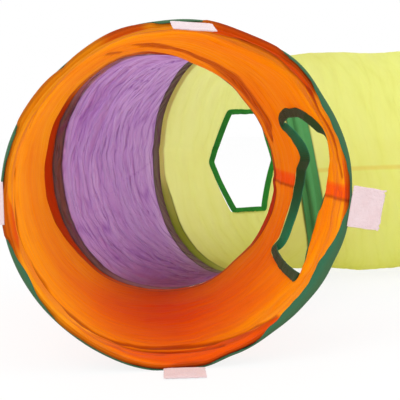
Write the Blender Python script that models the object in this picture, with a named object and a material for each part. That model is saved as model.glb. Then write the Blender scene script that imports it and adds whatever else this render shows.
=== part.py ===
"""Collapsible fabric play tunnel for a cat or small dog.

Two straight arms of thin nylon meet in a two-piece elbow.  Five sprung wire hoops hold the
fabric open.  Each hoop lies in a green casing tape that is sewn round the outside of the tube,
over the seam between two fabric panels.  Hook-and-loop tabs stand at both open ends, and two
windows, bound in the same green tape, look out of the first arm and of the elbow's outer wall.

The first arm runs along +Y from the front mouth, the second along +X to the end mouth, and the
tunnel stands on its casings on the plane z = 0.
"""

import math

import bmesh
import bpy
import numpy as np
from mathutils import Vector

MM = 0.001

# Clearance kept between two pieces that touch on the real object
GAP = 0.3 * MM

# Hoops: overall radius over the casing, wire and crimp sleeve
HOOP_OUTER_RADIUS = 125.0 * MM
WIRE_RADIUS = 1.0 * MM
WIRE_END_GAP = 1.0 * MM
FERRULE_WALL = 0.3 * MM
FERRULE_LENGTH = 16.0 * MM
FERRULE_CORNER = 25

# Fabric and tape
FABRIC_THICKNESS = 0.6 * MM
TAPE_THICKNESS = 0.5 * MM
TAPE_HALF_WIDTH = 10.5 * MM
END_TAPE_WIDTH = 20.5 * MM
HUMP_LAND = 2.2 * MM
HUMP_FOOT = 3.9 * MM
LIP_CHAMFER = 1.0 * MM
WAIST_DEPTH = 5.0 * MM
WAIST_RUN = 26.0 * MM
SQUARE_SHARE = 0.25

# Plan of the tunnel: turns of the hoops' faces from +Y, clockwise from above
ARM_1_LENGTH = 280.0 * MM
ARM_2_LENGTH = 300.0 * MM
INLET_HEADING_DEG = 24.0
MITRE_HEADING_DEG = 64.0
OUTLET_HEADING_DEG = 97.0
ARM_2_HEADING_DEG = 90.0
OUTLET_LEAN_DEG = 10.0
INNER_WALL_1 = 33.0 * MM
INNER_WALL_2 = 28.0 * MM
FOLDED_PITCH = 25.0 * MM

# Round window in the first arm, on the side facing the second arm
SIDE_WINDOW_RADIUS = 69.0 * MM
SIDE_WINDOW_FROM_MOUTH = 93.0 * MM
SIDE_WINDOW_BELOW_CENTRE = 5.0 * MM
SIDE_BINDING_WIDTH = 8.0 * MM

# Six-sided window in the elbow's outer wall
CORNER_WINDOW_HALF_WIDTH = 42.5 * MM
CORNER_WINDOW_HALF_HEIGHT = 64.0 * MM
CORNER_WINDOW_FLAT = 41.0 * MM
CORNER_WINDOW_ALONG = 0.669
CORNER_WINDOW_ABOVE_CENTRE = -1.0 * MM
CORNER_BINDING_WIDTH = 7.0 * MM
BINDING_THICKNESS = 1.2 * MM

# Hook-and-loop tabs
TAB_WIDTH = 30.0 * MM
TAB_LENGTH = 25.0 * MM
TAB_THICKNESS = 1.2 * MM
TAB_ROOT_BELOW_RIM = 1.3 * MM
# where each tab sits on its hoop and how it stands: 0 points out of the mouth, 90 away from the axis
FRONT_TABS = (("top", 85.5, -29.0), ("right", -4.5, 90.0), ("bottom", 270.0, 0.0), ("left", 180.0, 105.0))
END_TABS = (("top", 90.0, -20.0), ("right", 0.0, 100.0), ("bottom", 270.0, 0.0), ("left", 180.0, 80.0))

# Facets round a hoop: a multiple of four puts a flat facet at the very bottom
SEGMENTS = 40
WIRE_SIDES = 6
HOLE_SEGMENTS = 40
TAB_ROOT_STEPS = 4

GREEN = (0.045, 0.20, 0.075)
ORANGE = (0.90, 0.24, 0.01)
PURPLE = (0.40, 0.20, 0.43)
YELLOW = (0.80, 0.76, 0.20)
STEEL = (0.62, 0.62, 0.64)
WHITE = (0.85, 0.80, 0.80)

# Radii that follow from the sizes above
FERRULE_RADIUS = WIRE_RADIUS + GAP + FERRULE_WALL
CASING_ROOM = 2 * FERRULE_RADIUS + 2 * GAP
FABRIC_RADIUS = HOOP_OUTER_RADIUS - TAPE_THICKNESS - CASING_ROOM
WIRE_RING_RADIUS = FABRIC_RADIUS + GAP + FERRULE_RADIUS
LIP_INNER = FERRULE_RADIUS + GAP
LIP_OUTER = LIP_INNER + TAPE_THICKNESS

ANGLES = (np.arange(SEGMENTS) + 0.5) * 2 * math.pi / SEGMENTS


def direction(heading):
    """Level unit vector at a heading, clockwise from +Y seen from above."""
    return np.array([math.sin(heading), math.cos(heading), 0.0])


class Hoop:
    """A hoop's plane: centre, level in-plane axis a, upward axis b and normal n along the tunnel."""

    def __init__(self, name, plan, heading_deg, lean_deg=0.0):
        heading, lean = math.radians(heading_deg), math.radians(lean_deg)
        level = direction(heading)
        self.name = name
        self.heading = heading
        self.a = direction(heading + math.pi / 2)
        self.b = np.array([0, 0, 1]) * math.cos(lean) - level * math.sin(lean)
        self.n = level * math.cos(lean) + np.array([0, 0, 1]) * math.sin(lean)
        self.centre = np.array([plan[0], plan[1], 0.0])
        foot = HOOP_OUTER_RADIUS * math.cos(math.pi / SEGMENTS)
        self.centre[2] = foot * math.cos(lean) + HUMP_LAND * abs(math.sin(lean))

    def radial(self, angles):
        angles = np.asarray(angles, dtype=float)[..., None]
        return np.cos(angles) * self.a + np.sin(angles) * self.b

    def ring(self, angles, radius, along=0.0):
        return self.centre + radius * self.radial(angles) + along * self.n


def facet_share(angles):
    """How far a hoop's flat facets stand from its centre at an angle, as a share of its radius."""
    pitch = 2 * math.pi / SEGMENTS
    off = ((np.asarray(angles) / pitch + 0.5) % 1 - 0.5) * pitch
    return math.cos(pitch / 2) / np.cos(off)


def lay_out_hoops():
    """Places the five hoops, working round the short inner wall of the elbow."""
    radius = HOOP_OUTER_RADIUS
    inlet_heading = math.radians(INLET_HEADING_DEG)
    mitre_heading = math.radians(MITRE_HEADING_DEG)
    outlet_heading = math.radians(OUTLET_HEADING_DEG)
    front = np.zeros(3)
    inlet = front + ARM_1_LENGTH * direction(0.0)
    inlet_inner = inlet + radius * direction(inlet_heading + math.pi / 2)
    mitre_inner = inlet_inner + INNER_WALL_1 * direction(inlet_heading)
    mitre = mitre_inner - radius * direction(mitre_heading + math.pi / 2)
    outlet_inner = mitre_inner + INNER_WALL_2 * direction((mitre_heading + outlet_heading) / 2)
    outlet = outlet_inner - radius * direction(outlet_heading + math.pi / 2)
    end = outlet + ARM_2_LENGTH * direction(math.radians(ARM_2_HEADING_DEG))
    return {
        "front": Hoop("front", front, 0.0),
        "inlet": Hoop("inlet", inlet, INLET_HEADING_DEG),
        "mitre": Hoop("mitre", mitre, MITRE_HEADING_DEG),
        "outlet": Hoop("outlet", outlet, OUTLET_HEADING_DEG, OUTLET_LEAN_DEG),
        "end": Hoop("end", end, ARM_2_HEADING_DEG),
    }


def fold_pivot(moving, fixed, side):
    """Plan position of the upright axis that folds one elbow hoop flat against the mitre hoop.

    side is -1 where the moving hoop comes before the fixed one along the tunnel, and 1 after it.
    """
    folded = fixed.centre + side * FOLDED_PITCH * direction(fixed.heading)
    step = (folded - moving.centre) * np.array([1.0, 1.0, 0.0])
    turn = fixed.heading - moving.heading
    middle = (folded + moving.centre) / 2
    across = np.array([step[1], -step[0], 0.0])
    pivot = middle + across / (2 * math.tan(turn / 2))
    return np.array([pivot[0], pivot[1], 0.0])


def smoothstep(x):
    x = np.clip(x, 0.0, 1.0)
    return x * x * (3 - 2 * x)


class Panel:
    """One fabric tube between two hoops, as rings of points on its outer face.

    Each line along the tube runs square off both hoops as far as the foot of the hump over the
    wire, then as a cubic curve that is pulled nearly straight: SQUARE_SHARE says how much of the
    hoop's own direction is left in it.  The fabric keeps the hoop's radius under the tapes and
    draws in by WAIST_DEPTH between them.
    """

    def __init__(self, start, finish, open_start=False, open_finish=False, middle=1):
        self.start, self.finish = start, finish
        first_tape = END_TAPE_WIDTH if open_start else TAPE_HALF_WIDTH
        last_tape = END_TAPE_WIDTH if open_finish else TAPE_HALF_WIDTH
        p = start.ring(ANGLES, FABRIC_RADIUS)
        q = finish.ring(ANGLES, FABRIC_RADIUS)
        length = np.linalg.norm(q - p, axis=1)
        near = [np.full(SEGMENTS, GAP / 2), np.full(SEGMENTS, HUMP_FOOT)]
        near.append(np.minimum(first_tape + 0.5 * MM, 0.42 * length))
        near.append(np.minimum(first_tape + WAIST_RUN, 0.46 * length))
        far = [np.full(SEGMENTS, GAP / 2), np.full(SEGMENTS, HUMP_FOOT)]
        far.append(np.minimum(last_tape + 0.5 * MM, 0.42 * length))
        far.append(np.minimum(last_tape + WAIST_RUN, 0.46 * length))
        runs = list(near)
        for k in range(middle):
            share = (k + 1) / (middle + 1)
            runs.append(near[-1] + share * (length - far[-1] - near[-1]))
        runs += [length - d for d in reversed(far)]
        if open_start:
            runs[0] = np.full(SEGMENTS, -LIP_OUTER)
        if open_finish:
            runs[-1] = length + LIP_OUTER
        self.length = length
        self.runs = np.array(runs)
        self.tapes = (first_tape, last_tape)
        self.outer = np.array([self.surface(d, 0.0) for d in self.runs])
        self.inner = np.array([self.surface(d, FABRIC_THICKNESS) for d in self.runs])

    def surface(self, run, inset):
        radius = FABRIC_RADIUS - inset
        run = run[:, None]
        whole = self.length[:, None]
        p = self.start.ring(ANGLES, radius, HUMP_FOOT)
        q = self.finish.ring(ANGLES, radius, -HUMP_FOOT)
        span = whole - 2 * HUMP_FOOT
        chord = (q - p) / np.linalg.norm(q - p, axis=1, keepdims=True)
        leave = SQUARE_SHARE * self.start.n + (1 - SQUARE_SHARE) * chord
        arrive = SQUARE_SHARE * self.finish.n + (1 - SQUARE_SHARE) * chord
        s = np.clip((run - HUMP_FOOT) / span, 0.0, 1.0)
        point = (2 * s**3 - 3 * s**2 + 1) * p + (s**3 - 2 * s**2 + s) * span * leave
        point = point + (3 * s**2 - 2 * s**3) * q + (s**3 - s**2) * span * arrive
        point = point + np.minimum(run - HUMP_FOOT, 0.0) * self.start.n
        point = point + np.maximum(run - whole + HUMP_FOOT, 0.0) * self.finish.n
        first = (run - self.tapes[0]) / WAIST_RUN
        last = (whole - run - self.tapes[1]) / WAIST_RUN
        draw = WAIST_DEPTH * smoothstep(np.minimum(first, last))
        inward = (1 - s) * self.start.radial(ANGLES) + s * self.finish.radial(ANGLES)
        inward = inward / np.linalg.norm(inward, axis=1, keepdims=True)
        return point - draw * inward

    def outer_at(self, distance, from_finish=False):
        """Outer face at a distance from one hoop's plane, on the panel's own facets."""
        runs, rings = (self.length - self.runs[::-1], self.outer[::-1]) if from_finish else (self.runs, self.outer)
        result = np.empty((SEGMENTS, 3))
        for k in range(SEGMENTS):
            for axis in range(3):
                result[k, axis] = np.interp(distance, runs[:, k], rings[:, k, axis])
        return result


def triangles_between(first, second, count, closed=True):
    """Two triangles for each quad between two rings of vertices, always split the same way."""
    steps = count if closed else count - 1
    faces = []
    for k in range(steps):
        a, b = first + k, first + (k + 1) % count
        c, d = second + (k + 1) % count, second + k
        faces.append((a, b, c))
        faces.append((a, c, d))
    return faces


def material(name, colour, roughness, metallic=0.0):
    found = bpy.data.materials.get(name)
    if found is None:
        found = bpy.data.materials.new(name)
        found.use_nodes = True
        shader = found.node_tree.nodes["Principled BSDF"]
        shader.inputs["Base Color"].default_value = (*colour, 1.0)
        shader.inputs["Roughness"].default_value = roughness
        shader.inputs["Metallic"].default_value = metallic
        found.diffuse_color = (*colour, 1.0)
    return found


def make_object(name, points, faces, finish, carrier=None, smooth_angle=30.0):
    """A mesh object whose origin is on its carrier, which stands on the joint's axis."""
    origin = np.array(carrier.matrix_world.translation) if carrier else np.zeros(3)
    mesh = bpy.data.meshes.new(name)
    mesh.from_pydata([tuple(p - origin) for p in np.asarray(points).reshape(-1, 3)], [], faces)
    mesh.validate()
    tidy = bmesh.new()
    tidy.from_mesh(mesh)
    bmesh.ops.recalc_face_normals(tidy, faces=tidy.faces)
    tidy.to_mesh(mesh)
    tidy.free()
    mesh.materials.append(finish)
    mesh.shade_smooth()
    mesh.set_sharp_from_angle(angle=math.radians(smooth_angle))
    thing = bpy.data.objects.new(name, mesh)
    bpy.context.collection.objects.link(thing)
    if carrier:
        thing.parent = carrier
    return thing


def make_axis(name, position, carrier=None):
    """An empty on a joint's axis, which carries everything that the joint moves."""
    axis = bpy.data.objects.new(name, None)
    axis.empty_display_size = 0.03
    bpy.context.collection.objects.link(axis)
    base = carrier.matrix_world.translation if carrier else Vector((0, 0, 0))
    axis.location = Vector(position) - base
    axis.parent = carrier
    bpy.context.view_layer.update()
    return axis


def closed_band(loops):
    """Points and triangles of a ring whose section is the closed run of loops."""
    count = len(loops[0])
    faces = []
    for j in range(len(loops)):
        faces += triangles_between(j * count, ((j + 1) % len(loops)) * count, count)
    return np.concatenate(loops), faces


def make_panel(name, panel, finish, carrier):
    """Fabric tube: the outer rings out along the tube and the inner rings back."""
    points, faces = closed_band(list(panel.outer) + list(panel.inner[::-1]))
    return make_object(name, points, faces, finish, carrier)


def make_casing(name, hoop, before, after, finish, carrier):
    """Tape arched over the wire, following the fabric on each side of the hoop.

    Its section is written as (distance along the tunnel, height over the fabric).
    """
    roof = CASING_ROOM
    foot = GAP
    over = TAPE_THICKNESS
    land_in = HUMP_LAND - 0.3 * MM
    foot_in = HUMP_FOOT - 0.3 * MM
    rise = [(foot_in, foot), (land_in, roof)]
    rise_over = [(HUMP_LAND, roof + over), (HUMP_FOOT, foot + over)]
    if before and after:
        inner = [(-TAPE_HALF_WIDTH, foot), (-foot_in, foot), (-land_in, roof)]
        inner += [(land_in, roof), (foot_in, foot), (TAPE_HALF_WIDTH, foot)]
        outer = [(TAPE_HALF_WIDTH, foot + over), (HUMP_FOOT, foot + over), (HUMP_LAND, roof + over)]
        outer += [(-HUMP_LAND, roof + over), (-HUMP_FOOT, foot + over), (-TAPE_HALF_WIDTH, foot + over)]
    else:
        inner = [(END_TAPE_WIDTH, foot)] + rise + [(-LIP_INNER, roof), (-LIP_INNER, foot)]
        outer = [(-LIP_OUTER, foot), (-LIP_OUTER, roof + over - LIP_CHAMFER)]
        outer += [(-LIP_OUTER + LIP_CHAMFER, roof + over)] + rise_over + [(END_TAPE_WIDTH, foot + over)]
    loops = []
    outward = hoop.radial(ANGLES)
    mouth_ahead = after is None
    for distance, height in inner + outer:
        if before and after:
            panel, finish_side = (after, False) if distance >= 0 else (before, True)
        else:
            panel, finish_side = (before, True) if mouth_ahead else (after, False)
        reach = abs(distance) if before and after else max(distance, 0.0)
        base = panel.outer_at(reach, finish_side)
        if abs(distance) <= HUMP_LAND or (not (before and after) and distance < HUMP_LAND):
            sense = -1.0 if mouth_ahead else 1.0
            base = hoop.ring(ANGLES, FABRIC_RADIUS, distance * sense)
        loops.append(base + height * outward)
    points, faces = closed_band(loops)
    return make_object(name, points, faces, finish, carrier)


def make_wire(name, hoop, finish, carrier):
    """Open ring of round wire, whose two ends meet inside the crimp sleeve."""
    join = ANGLES[FERRULE_CORNER]
    half_gap = WIRE_END_GAP / 2 / WIRE_RING_RADIUS
    corners = join + (ANGLES - ANGLES[0])[1:]
    turn = np.concatenate([[join + half_gap], corners, [join + 2 * math.pi - half_gap]])
    return make_rod(name, hoop, turn, [WIRE_RADIUS], finish, carrier)


def make_ferrule(name, hoop, finish, carrier):
    """Crimp sleeve over the wire's ends: a short tube bent to the hoop's curve."""
    half = FERRULE_LENGTH / 2 / WIRE_RING_RADIUS
    join = ANGLES[FERRULE_CORNER]
    turn = np.array([join - half, join, join + half])
    return make_rod(name, hoop, turn, [FERRULE_RADIUS, WIRE_RADIUS + GAP], finish, carrier)


def make_rod(name, hoop, turn, radii, finish, carrier):
    """A rod, or with two radii a tube, carried along an arc of the wire's circle."""
    around = np.arange(WIRE_SIDES) * 2 * math.pi / WIRE_SIDES
    share = facet_share(turn)[:, None]
    shells = []
    for radius in radii:
        section = []
        for w in around:
            from_centre = (WIRE_RING_RADIUS + radius * math.cos(w)) * share * hoop.radial(turn)
            section.append(hoop.centre + from_centre + radius * math.sin(w) * hoop.n)
        shells.append(np.array(section).transpose(1, 0, 2))
    stations, sides = len(turn), WIRE_SIDES
    points = np.concatenate([shell.reshape(-1, 3) for shell in shells])
    faces = []
    for shell in range(len(shells)):
        for j in range(stations - 1):
            base = shell * stations * sides + j * sides
            strip = triangles_between(base, base + sides, sides)
            faces += [face[::-1] for face in strip] if shell else strip
    last = (stations - 1) * sides
    if len(shells) == 1:
        faces.append(tuple(range(sides)))
        faces.append(tuple(last + k for k in reversed(range(sides))))
    else:
        inner = stations * sides
        faces += triangles_between(inner, 0, sides)
        faces += triangles_between(last, inner + last, sides)
    return make_object(name, points, faces, finish, carrier)


def cutter_from_loop(name, loop, depth):
    """Prism over a closed outline, swept both ways along depth, used to cut a window."""
    count = len(loop)
    points = np.concatenate([loop - depth, loop + depth])
    faces = triangles_between(0, count, count)
    faces.append(tuple(reversed(range(count))))
    faces.append(tuple(range(count, 2 * count)))
    tool = make_object(name, points, faces, material("guide", WHITE, 0.5))
    tool.hide_render = True
    tool.display_type = "WIRE"
    return tool


def cut_window(panel_object, loop, depth):
    tool = cutter_from_loop(panel_object.name + "_cutter", loop, depth)
    cut = panel_object.modifiers.new("window", "BOOLEAN")
    cut.operation = "DIFFERENCE"
    cut.solver = "EXACT"
    cut.object = tool


def drop_onto_wall(points, along, panel, angle):
    """Moves points along one direction onto the panel's mid-surface, on one side of the tube.

    The wall is searched as triangles between the panel's rings within a quarter turn of angle.
    """
    middle = (panel.outer + panel.inner) / 2
    rings = middle.shape[0]
    landed = []
    for point in points:
        best = None
        for k in range(SEGMENTS):
            swing = (ANGLES[k] - angle + math.pi) % (2 * math.pi) - math.pi
            if abs(swing) > math.pi / 2:
                continue
            m = (k + 1) % SEGMENTS
            for j in range(rings - 1):
                quad = (middle[j, k], middle[j, m], middle[j + 1, m], middle[j + 1, k])
                for tri in ((quad[0], quad[1], quad[2]), (quad[0], quad[2], quad[3])):
                    edge_1, edge_2 = tri[1] - tri[0], tri[2] - tri[0]
                    cross = np.cross(along, edge_2)
                    det = edge_1 @ cross
                    if abs(det) < 1e-14:
                        continue
                    gap = point - tri[0]
                    u = gap @ cross / det
                    turned = np.cross(gap, edge_1)
                    v = along @ turned / det
                    if u < -1e-6 or v < -1e-6 or u + v > 1 + 1e-6:
                        continue
                    t = edge_2 @ turned / det
                    if best is None or abs(t) < abs(best):
                        best = t
        landed.append(point + (best or 0.0) * along)
    return np.array(landed)


def make_binding(name, outline, width, along, panel, angle, finish, carrier):
    """Flat band of tape round the inside edge of a window, lying in the wall's surface."""
    centre = outline.mean(axis=0)
    spoke = outline - centre
    size = np.linalg.norm(spoke, axis=1, keepdims=True)
    edge = centre + spoke * (1 - GAP / size)
    inside = centre + spoke * (1 - (GAP + width) / size)
    edge_on = drop_onto_wall(edge, along, panel, angle)
    inside_on = drop_onto_wall(inside, along, panel, angle)
    half = along * BINDING_THICKNESS / 2
    loops = [edge_on - half, edge_on + half, inside_on + half, inside_on - half]
    points, faces = closed_band(loops)
    return make_object(name, points, faces, finish, carrier)


def round_outline(centre, across, up, radius):
    turn = np.arange(HOLE_SEGMENTS) * 2 * math.pi / HOLE_SEGMENTS
    return centre + radius * (np.cos(turn)[:, None] * across + np.sin(turn)[:, None] * up)


def hexagon_outline(centre, across, up):
    """Six-sided outline with level top and bottom edges and a point on each side."""
    half_flat = CORNER_WINDOW_FLAT / 2
    width, height = CORNER_WINDOW_HALF_WIDTH, CORNER_WINDOW_HALF_HEIGHT
    corners = [(width, 0), (half_flat, height), (-half_flat, height)]
    corners += [(-width, 0), (-half_flat, -height), (half_flat, -height)]
    steps = 6
    points = []
    for k in range(6):
        (x0, y0), (x1, y1) = corners[k], corners[(k + 1) % 6]
        for j in range(steps):
            share = j / steps
            points.append((x0 + (x1 - x0) * share, y0 + (y1 - y0) * share))
    return np.array([centre + x * across + y * up for x, y in points])


def make_tab(name, hoop, angle_deg, stand_deg, sense, finish, carrier):
    """Hook-and-loop tab: a flat strip with a round fold, hinged along the rim's front edge.

    sense is -1 at the front mouth, whose outside lies against the hoop's normal, and 1 at the end.
    """
    angle, stand = math.radians(angle_deg), math.radians(stand_deg)
    outward = hoop.radial(angle)
    tangent = np.cross(hoop.n, outward)
    half = TAB_THICKNESS / 2
    ahead = sense * hoop.n
    root = hoop.centre + (HOOP_OUTER_RADIUS - TAB_ROOT_BELOW_RIM) * outward
    root = root + (LIP_OUTER + GAP + half) * ahead
    reach = math.cos(stand) * ahead + math.sin(stand) * outward
    lift = math.cos(stand) * outward - math.sin(stand) * ahead
    axis = make_axis(name + "_fold", root, carrier)
    fold = [math.pi / 2 + math.pi * k / TAB_ROOT_STEPS for k in range(TAB_ROOT_STEPS + 1)]
    section = [(half * math.cos(w), half * math.sin(w)) for w in fold]
    section += [(TAB_LENGTH, -half), (TAB_LENGTH, half)]
    sides = []
    for shift in (-TAB_WIDTH / 2, TAB_WIDTH / 2):
        sides.append(np.array([root + u * reach + v * lift + shift * tangent for u, v in section]))
    count = len(section)
    faces = triangles_between(0, count, count)
    faces.append(tuple(reversed(range(count))))
    faces.append(tuple(range(count, 2 * count)))
    make_object(name, np.concatenate(sides), faces, finish, axis)
    return root, tangent


def clear_scene():
    for thing in list(bpy.data.objects):
        bpy.data.objects.remove(thing, do_unlink=True)


def build():
    clear_scene()
    fabric = {
        "orange": material("orange_nylon", ORANGE, 0.6),
        "purple": material("purple_nylon", PURPLE, 0.6),
        "yellow": material("yellow_nylon", YELLOW, 0.6),
    }
    tape = material("green_tape", GREEN, 0.7)
    steel = material("spring_steel", STEEL, 0.35, 1.0)
    crimp = material("crimp_steel", STEEL, 0.45, 1.0)
    loop = material("hook_and_loop", WHITE, 0.9)

    hoops = lay_out_hoops()
    up = np.array([0.0, 0.0, 1.0])
    orange = Panel(hoops["front"], hoops["inlet"], open_start=True, middle=2)
    purple = Panel(hoops["inlet"], hoops["mitre"])
    elbow = Panel(hoops["mitre"], hoops["outlet"])
    yellow = Panel(hoops["outlet"], hoops["end"], open_finish=True, middle=2)

    inlet_pivot = fold_pivot(hoops["inlet"], hoops["mitre"], -1)
    outlet_pivot = fold_pivot(hoops["outlet"], hoops["mitre"], 1)
    inlet_axis = make_axis("inlet_fold", inlet_pivot)
    outlet_axis = make_axis("outlet_fold", outlet_pivot)
    front_axis = make_axis("front_travel", hoops["front"].centre, inlet_axis)
    end_axis = make_axis("end_travel", hoops["end"].centre, outlet_axis)
    mitre_axis = make_axis("mitre_frame", hoops["mitre"].centre)
    carriers = {"front": front_axis, "inlet": inlet_axis, "mitre": mitre_axis}
    carriers.update({"outlet": outlet_axis, "end": end_axis})
    neighbours = {
        "front": (None, orange),
        "inlet": (orange, purple),
        "mitre": (purple, elbow),
        "outlet": (elbow, yellow),
        "end": (yellow, None),
    }

    for key, hoop in hoops.items():
        before, after = neighbours[key]
        make_wire(key + "_hoop_wire", hoop, steel, carriers[key])
        make_ferrule(key + "_hoop_ferrule", hoop, crimp, carriers[key])
        make_casing(key + "_hoop_casing", hoop, before, after, tape, carriers[key])

    orange_arm = make_panel("orange_arm_panel", orange, fabric["orange"], inlet_axis)
    make_panel("purple_elbow_panel", purple, fabric["purple"], mitre_axis)
    yellow_elbow = make_panel("yellow_elbow_panel", elbow, fabric["yellow"], mitre_axis)
    make_panel("yellow_arm_panel", yellow, fabric["yellow"], outlet_axis)

    front = hoops["front"]
    side_way = direction(math.pi / 2)
    side_centre = front.centre + SIDE_WINDOW_FROM_MOUTH * front.n - SIDE_WINDOW_BELOW_CENTRE * up
    side_centre = side_centre + FABRIC_RADIUS * side_way
    side_loop = round_outline(side_centre, front.n, up, SIDE_WINDOW_RADIUS)
    cut_window(orange_arm, side_loop, side_way * FABRIC_RADIUS * 0.6)
    make_binding("side_window_binding", side_loop, SIDE_BINDING_WIDTH, side_way, orange, 0.0, tape, inlet_axis)

    mitre, outlet = hoops["mitre"], hoops["outlet"]
    wall_start = mitre.ring(math.pi, FABRIC_RADIUS)
    wall_end = outlet.ring(math.pi, FABRIC_RADIUS)
    wall_run = (wall_end - wall_start) * np.array([1.0, 1.0, 0.0])
    wall_run = wall_run / np.linalg.norm(wall_run)
    wall_out = np.cross(up, wall_run)
    corner_centre = wall_start + (wall_end - wall_start) * CORNER_WINDOW_ALONG
    corner_centre[2] = mitre.centre[2] + CORNER_WINDOW_ABOVE_CENTRE
    corner_loop = hexagon_outline(corner_centre, wall_run, up)
    cut_window(yellow_elbow, corner_loop, wall_out * FABRIC_RADIUS * 0.6)
    make_binding(
        "corner_window_binding", corner_loop, CORNER_BINDING_WIDTH, wall_out, elbow, math.pi, tape, mitre_axis
    )

    folds = {}
    for key, sense, tabs in (("front", -1.0, FRONT_TABS), ("end", 1.0, END_TABS)):
        for side, angle, stand in tabs:
            name = key + "_tab_" + side
            folds[name] = make_tab(name, hoops[key], angle, stand, sense, loop, carriers[key])

    bpy.context.view_layer.update()
    settle(hoops, inlet_pivot, outlet_pivot, folds)


def settle(hoops, inlet_pivot, outlet_pivot, folds):
    """Moves the origin to the middle of the tunnel's footprint and prints where the joints are."""
    low, high = np.full(3, np.inf), np.full(3, -np.inf)
    for thing in bpy.data.objects:
        if thing.type == "MESH" and not thing.hide_render:
            points = np.array([thing.matrix_world @ v.co for v in thing.data.vertices])
            low, high = np.minimum(low, points.min(axis=0)), np.maximum(high, points.max(axis=0))
    shift = np.array([-(low[0] + high[0]) / 2, -(low[1] + high[1]) / 2, -low[2]])
    for thing in bpy.data.objects:
        if thing.parent is None:
            thing.location = thing.location + Vector(shift)
    bpy.context.view_layer.update()
    print("shift", np.round(shift, 6), "size", np.round(high - low, 5))
    print("inlet_fold at", np.round(inlet_pivot + shift, 6))
    print("outlet_fold at", np.round(outlet_pivot + shift, 6))
    for key, hoop in hoops.items():
        print(key, "hoop centre", np.round(hoop.centre + shift, 6), "normal", np.round(hoop.n, 6))
    for name, (root, tangent) in folds.items():
        print(name, "fold at", np.round(root + shift, 6), "axis", np.round(tangent, 6))


build()
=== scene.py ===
"""Pet play tunnel: fabric sleeves, hoop tapes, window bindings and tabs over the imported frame."""

import math

import bmesh
import bpy
import numpy as np
from bpy.props import FloatProperty, FloatVectorProperty, IntProperty, PointerProperty
from mathutils import Matrix, Vector


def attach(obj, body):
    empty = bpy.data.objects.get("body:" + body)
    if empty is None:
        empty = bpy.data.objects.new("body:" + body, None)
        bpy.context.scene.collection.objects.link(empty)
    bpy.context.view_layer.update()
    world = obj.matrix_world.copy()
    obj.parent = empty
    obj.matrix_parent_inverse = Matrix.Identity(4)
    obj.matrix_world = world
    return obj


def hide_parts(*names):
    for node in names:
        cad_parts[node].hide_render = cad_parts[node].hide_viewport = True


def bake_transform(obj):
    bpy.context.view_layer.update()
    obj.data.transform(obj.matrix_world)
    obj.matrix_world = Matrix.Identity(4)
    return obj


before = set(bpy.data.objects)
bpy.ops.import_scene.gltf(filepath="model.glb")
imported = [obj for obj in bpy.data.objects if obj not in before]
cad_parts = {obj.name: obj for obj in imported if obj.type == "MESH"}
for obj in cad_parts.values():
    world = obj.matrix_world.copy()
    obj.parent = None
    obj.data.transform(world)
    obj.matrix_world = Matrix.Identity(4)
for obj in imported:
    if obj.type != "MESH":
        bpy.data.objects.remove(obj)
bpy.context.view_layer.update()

bl_info = {
    "name": "Pet Play Tunnel",
    "version": (1, 0, 0),
    "blender": (4, 5, 0),
    "location": "View3D > Sidebar > Tunnel",
    "description": "Dresses a folding fabric tunnel with sleeves, tapes, bindings and tabs",
    "category": "Add Mesh",
}

MM = 0.001
UP = np.array([0.0, 0.0, 1.0])
WHITE = (1.0, 1.0, 1.0, 1.0)

# Sizes shared with the CAD, in metres, and two shares
HOOP_RADIUS = 0.125
CLOTH_RADIUS = 0.1207
WIRE_RING = 0.1226
WIRE_RADIUS = 0.001
HUMP_FOOT = 0.0039
TAPE_HALF = 0.0105
END_TAPE = 0.0205
WAIST_RUN = 0.026
SQUARE_SHARE = 0.25
ROUND_FIT = 0.99692

# Sizes of this script, in metres: how much cloth turns round a mouth's wire, the thickness of the casing
# tapes and of the window bindings, the least heights of cloth and tape over the floor, and the girth of a
# cloth laid flat, with its seam
ROLL = 0.0066
TAPE_THICK = 0.0005
BINDING_THICK = 0.0017
CLOTH_GAP = 0.0006
TAPE_GAP = 0.0001
GIRTH = 0.762

# Rows of points over a rolled hem
HEM_ROWS = 18

# Where the six-sided window lies along the elbow's outer wall, as a share, its half height, its half widths
# towards the mitre and the outlet hoop, and how far its corners are cut back
CORNER_SHARE = 0.669
CORNER_HALF = 0.064
CORNER_WIDE = (0.0475, 0.0425)
CORNER_CUT = 0.022


# Field helpers


def ease(x):
    """Smooth step from 0 to 1."""
    x = np.clip(x, 0.0, 1.0)
    return x * x * (3 - 2 * x)


def bell(x):
    """Bell curve: 1 at zero, falling to a third at one and to nothing at three."""
    return np.exp(-(x**2))


def noise(x, y, seed, turns=64):
    """Value noise from -1 to 1: seeded lattice values eased between neighbours, x repeating after turns."""
    table = np.random.default_rng(seed).uniform(-1.0, 1.0, (turns, 64))
    x0 = np.floor(x).astype(int)
    y0 = np.floor(y).astype(int)
    fx = ease(x - x0)
    fy = ease(y - y0)
    low = table[x0 % turns, y0 % 64] * (1 - fx) + table[(x0 + 1) % turns, y0 % 64] * fx
    high = table[x0 % turns, (y0 + 1) % 64] * (1 - fx) + table[(x0 + 1) % turns, (y0 + 1) % 64] * fx
    return low * (1 - fy) + high * fy


def ripple(arc, count, seed, row=0.0):
    """Value noise round a closed line: count lattice values over an arc from 0 to 1."""
    return noise(arc * count, 0 * arc + row, seed, count)


def crease(x, y, seed, turns, sharp):
    """Narrow ridges from 0 to 1 along the zero lines of value noise."""
    return (1 - np.abs(noise(x, y, seed, turns))) ** sharp


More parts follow.
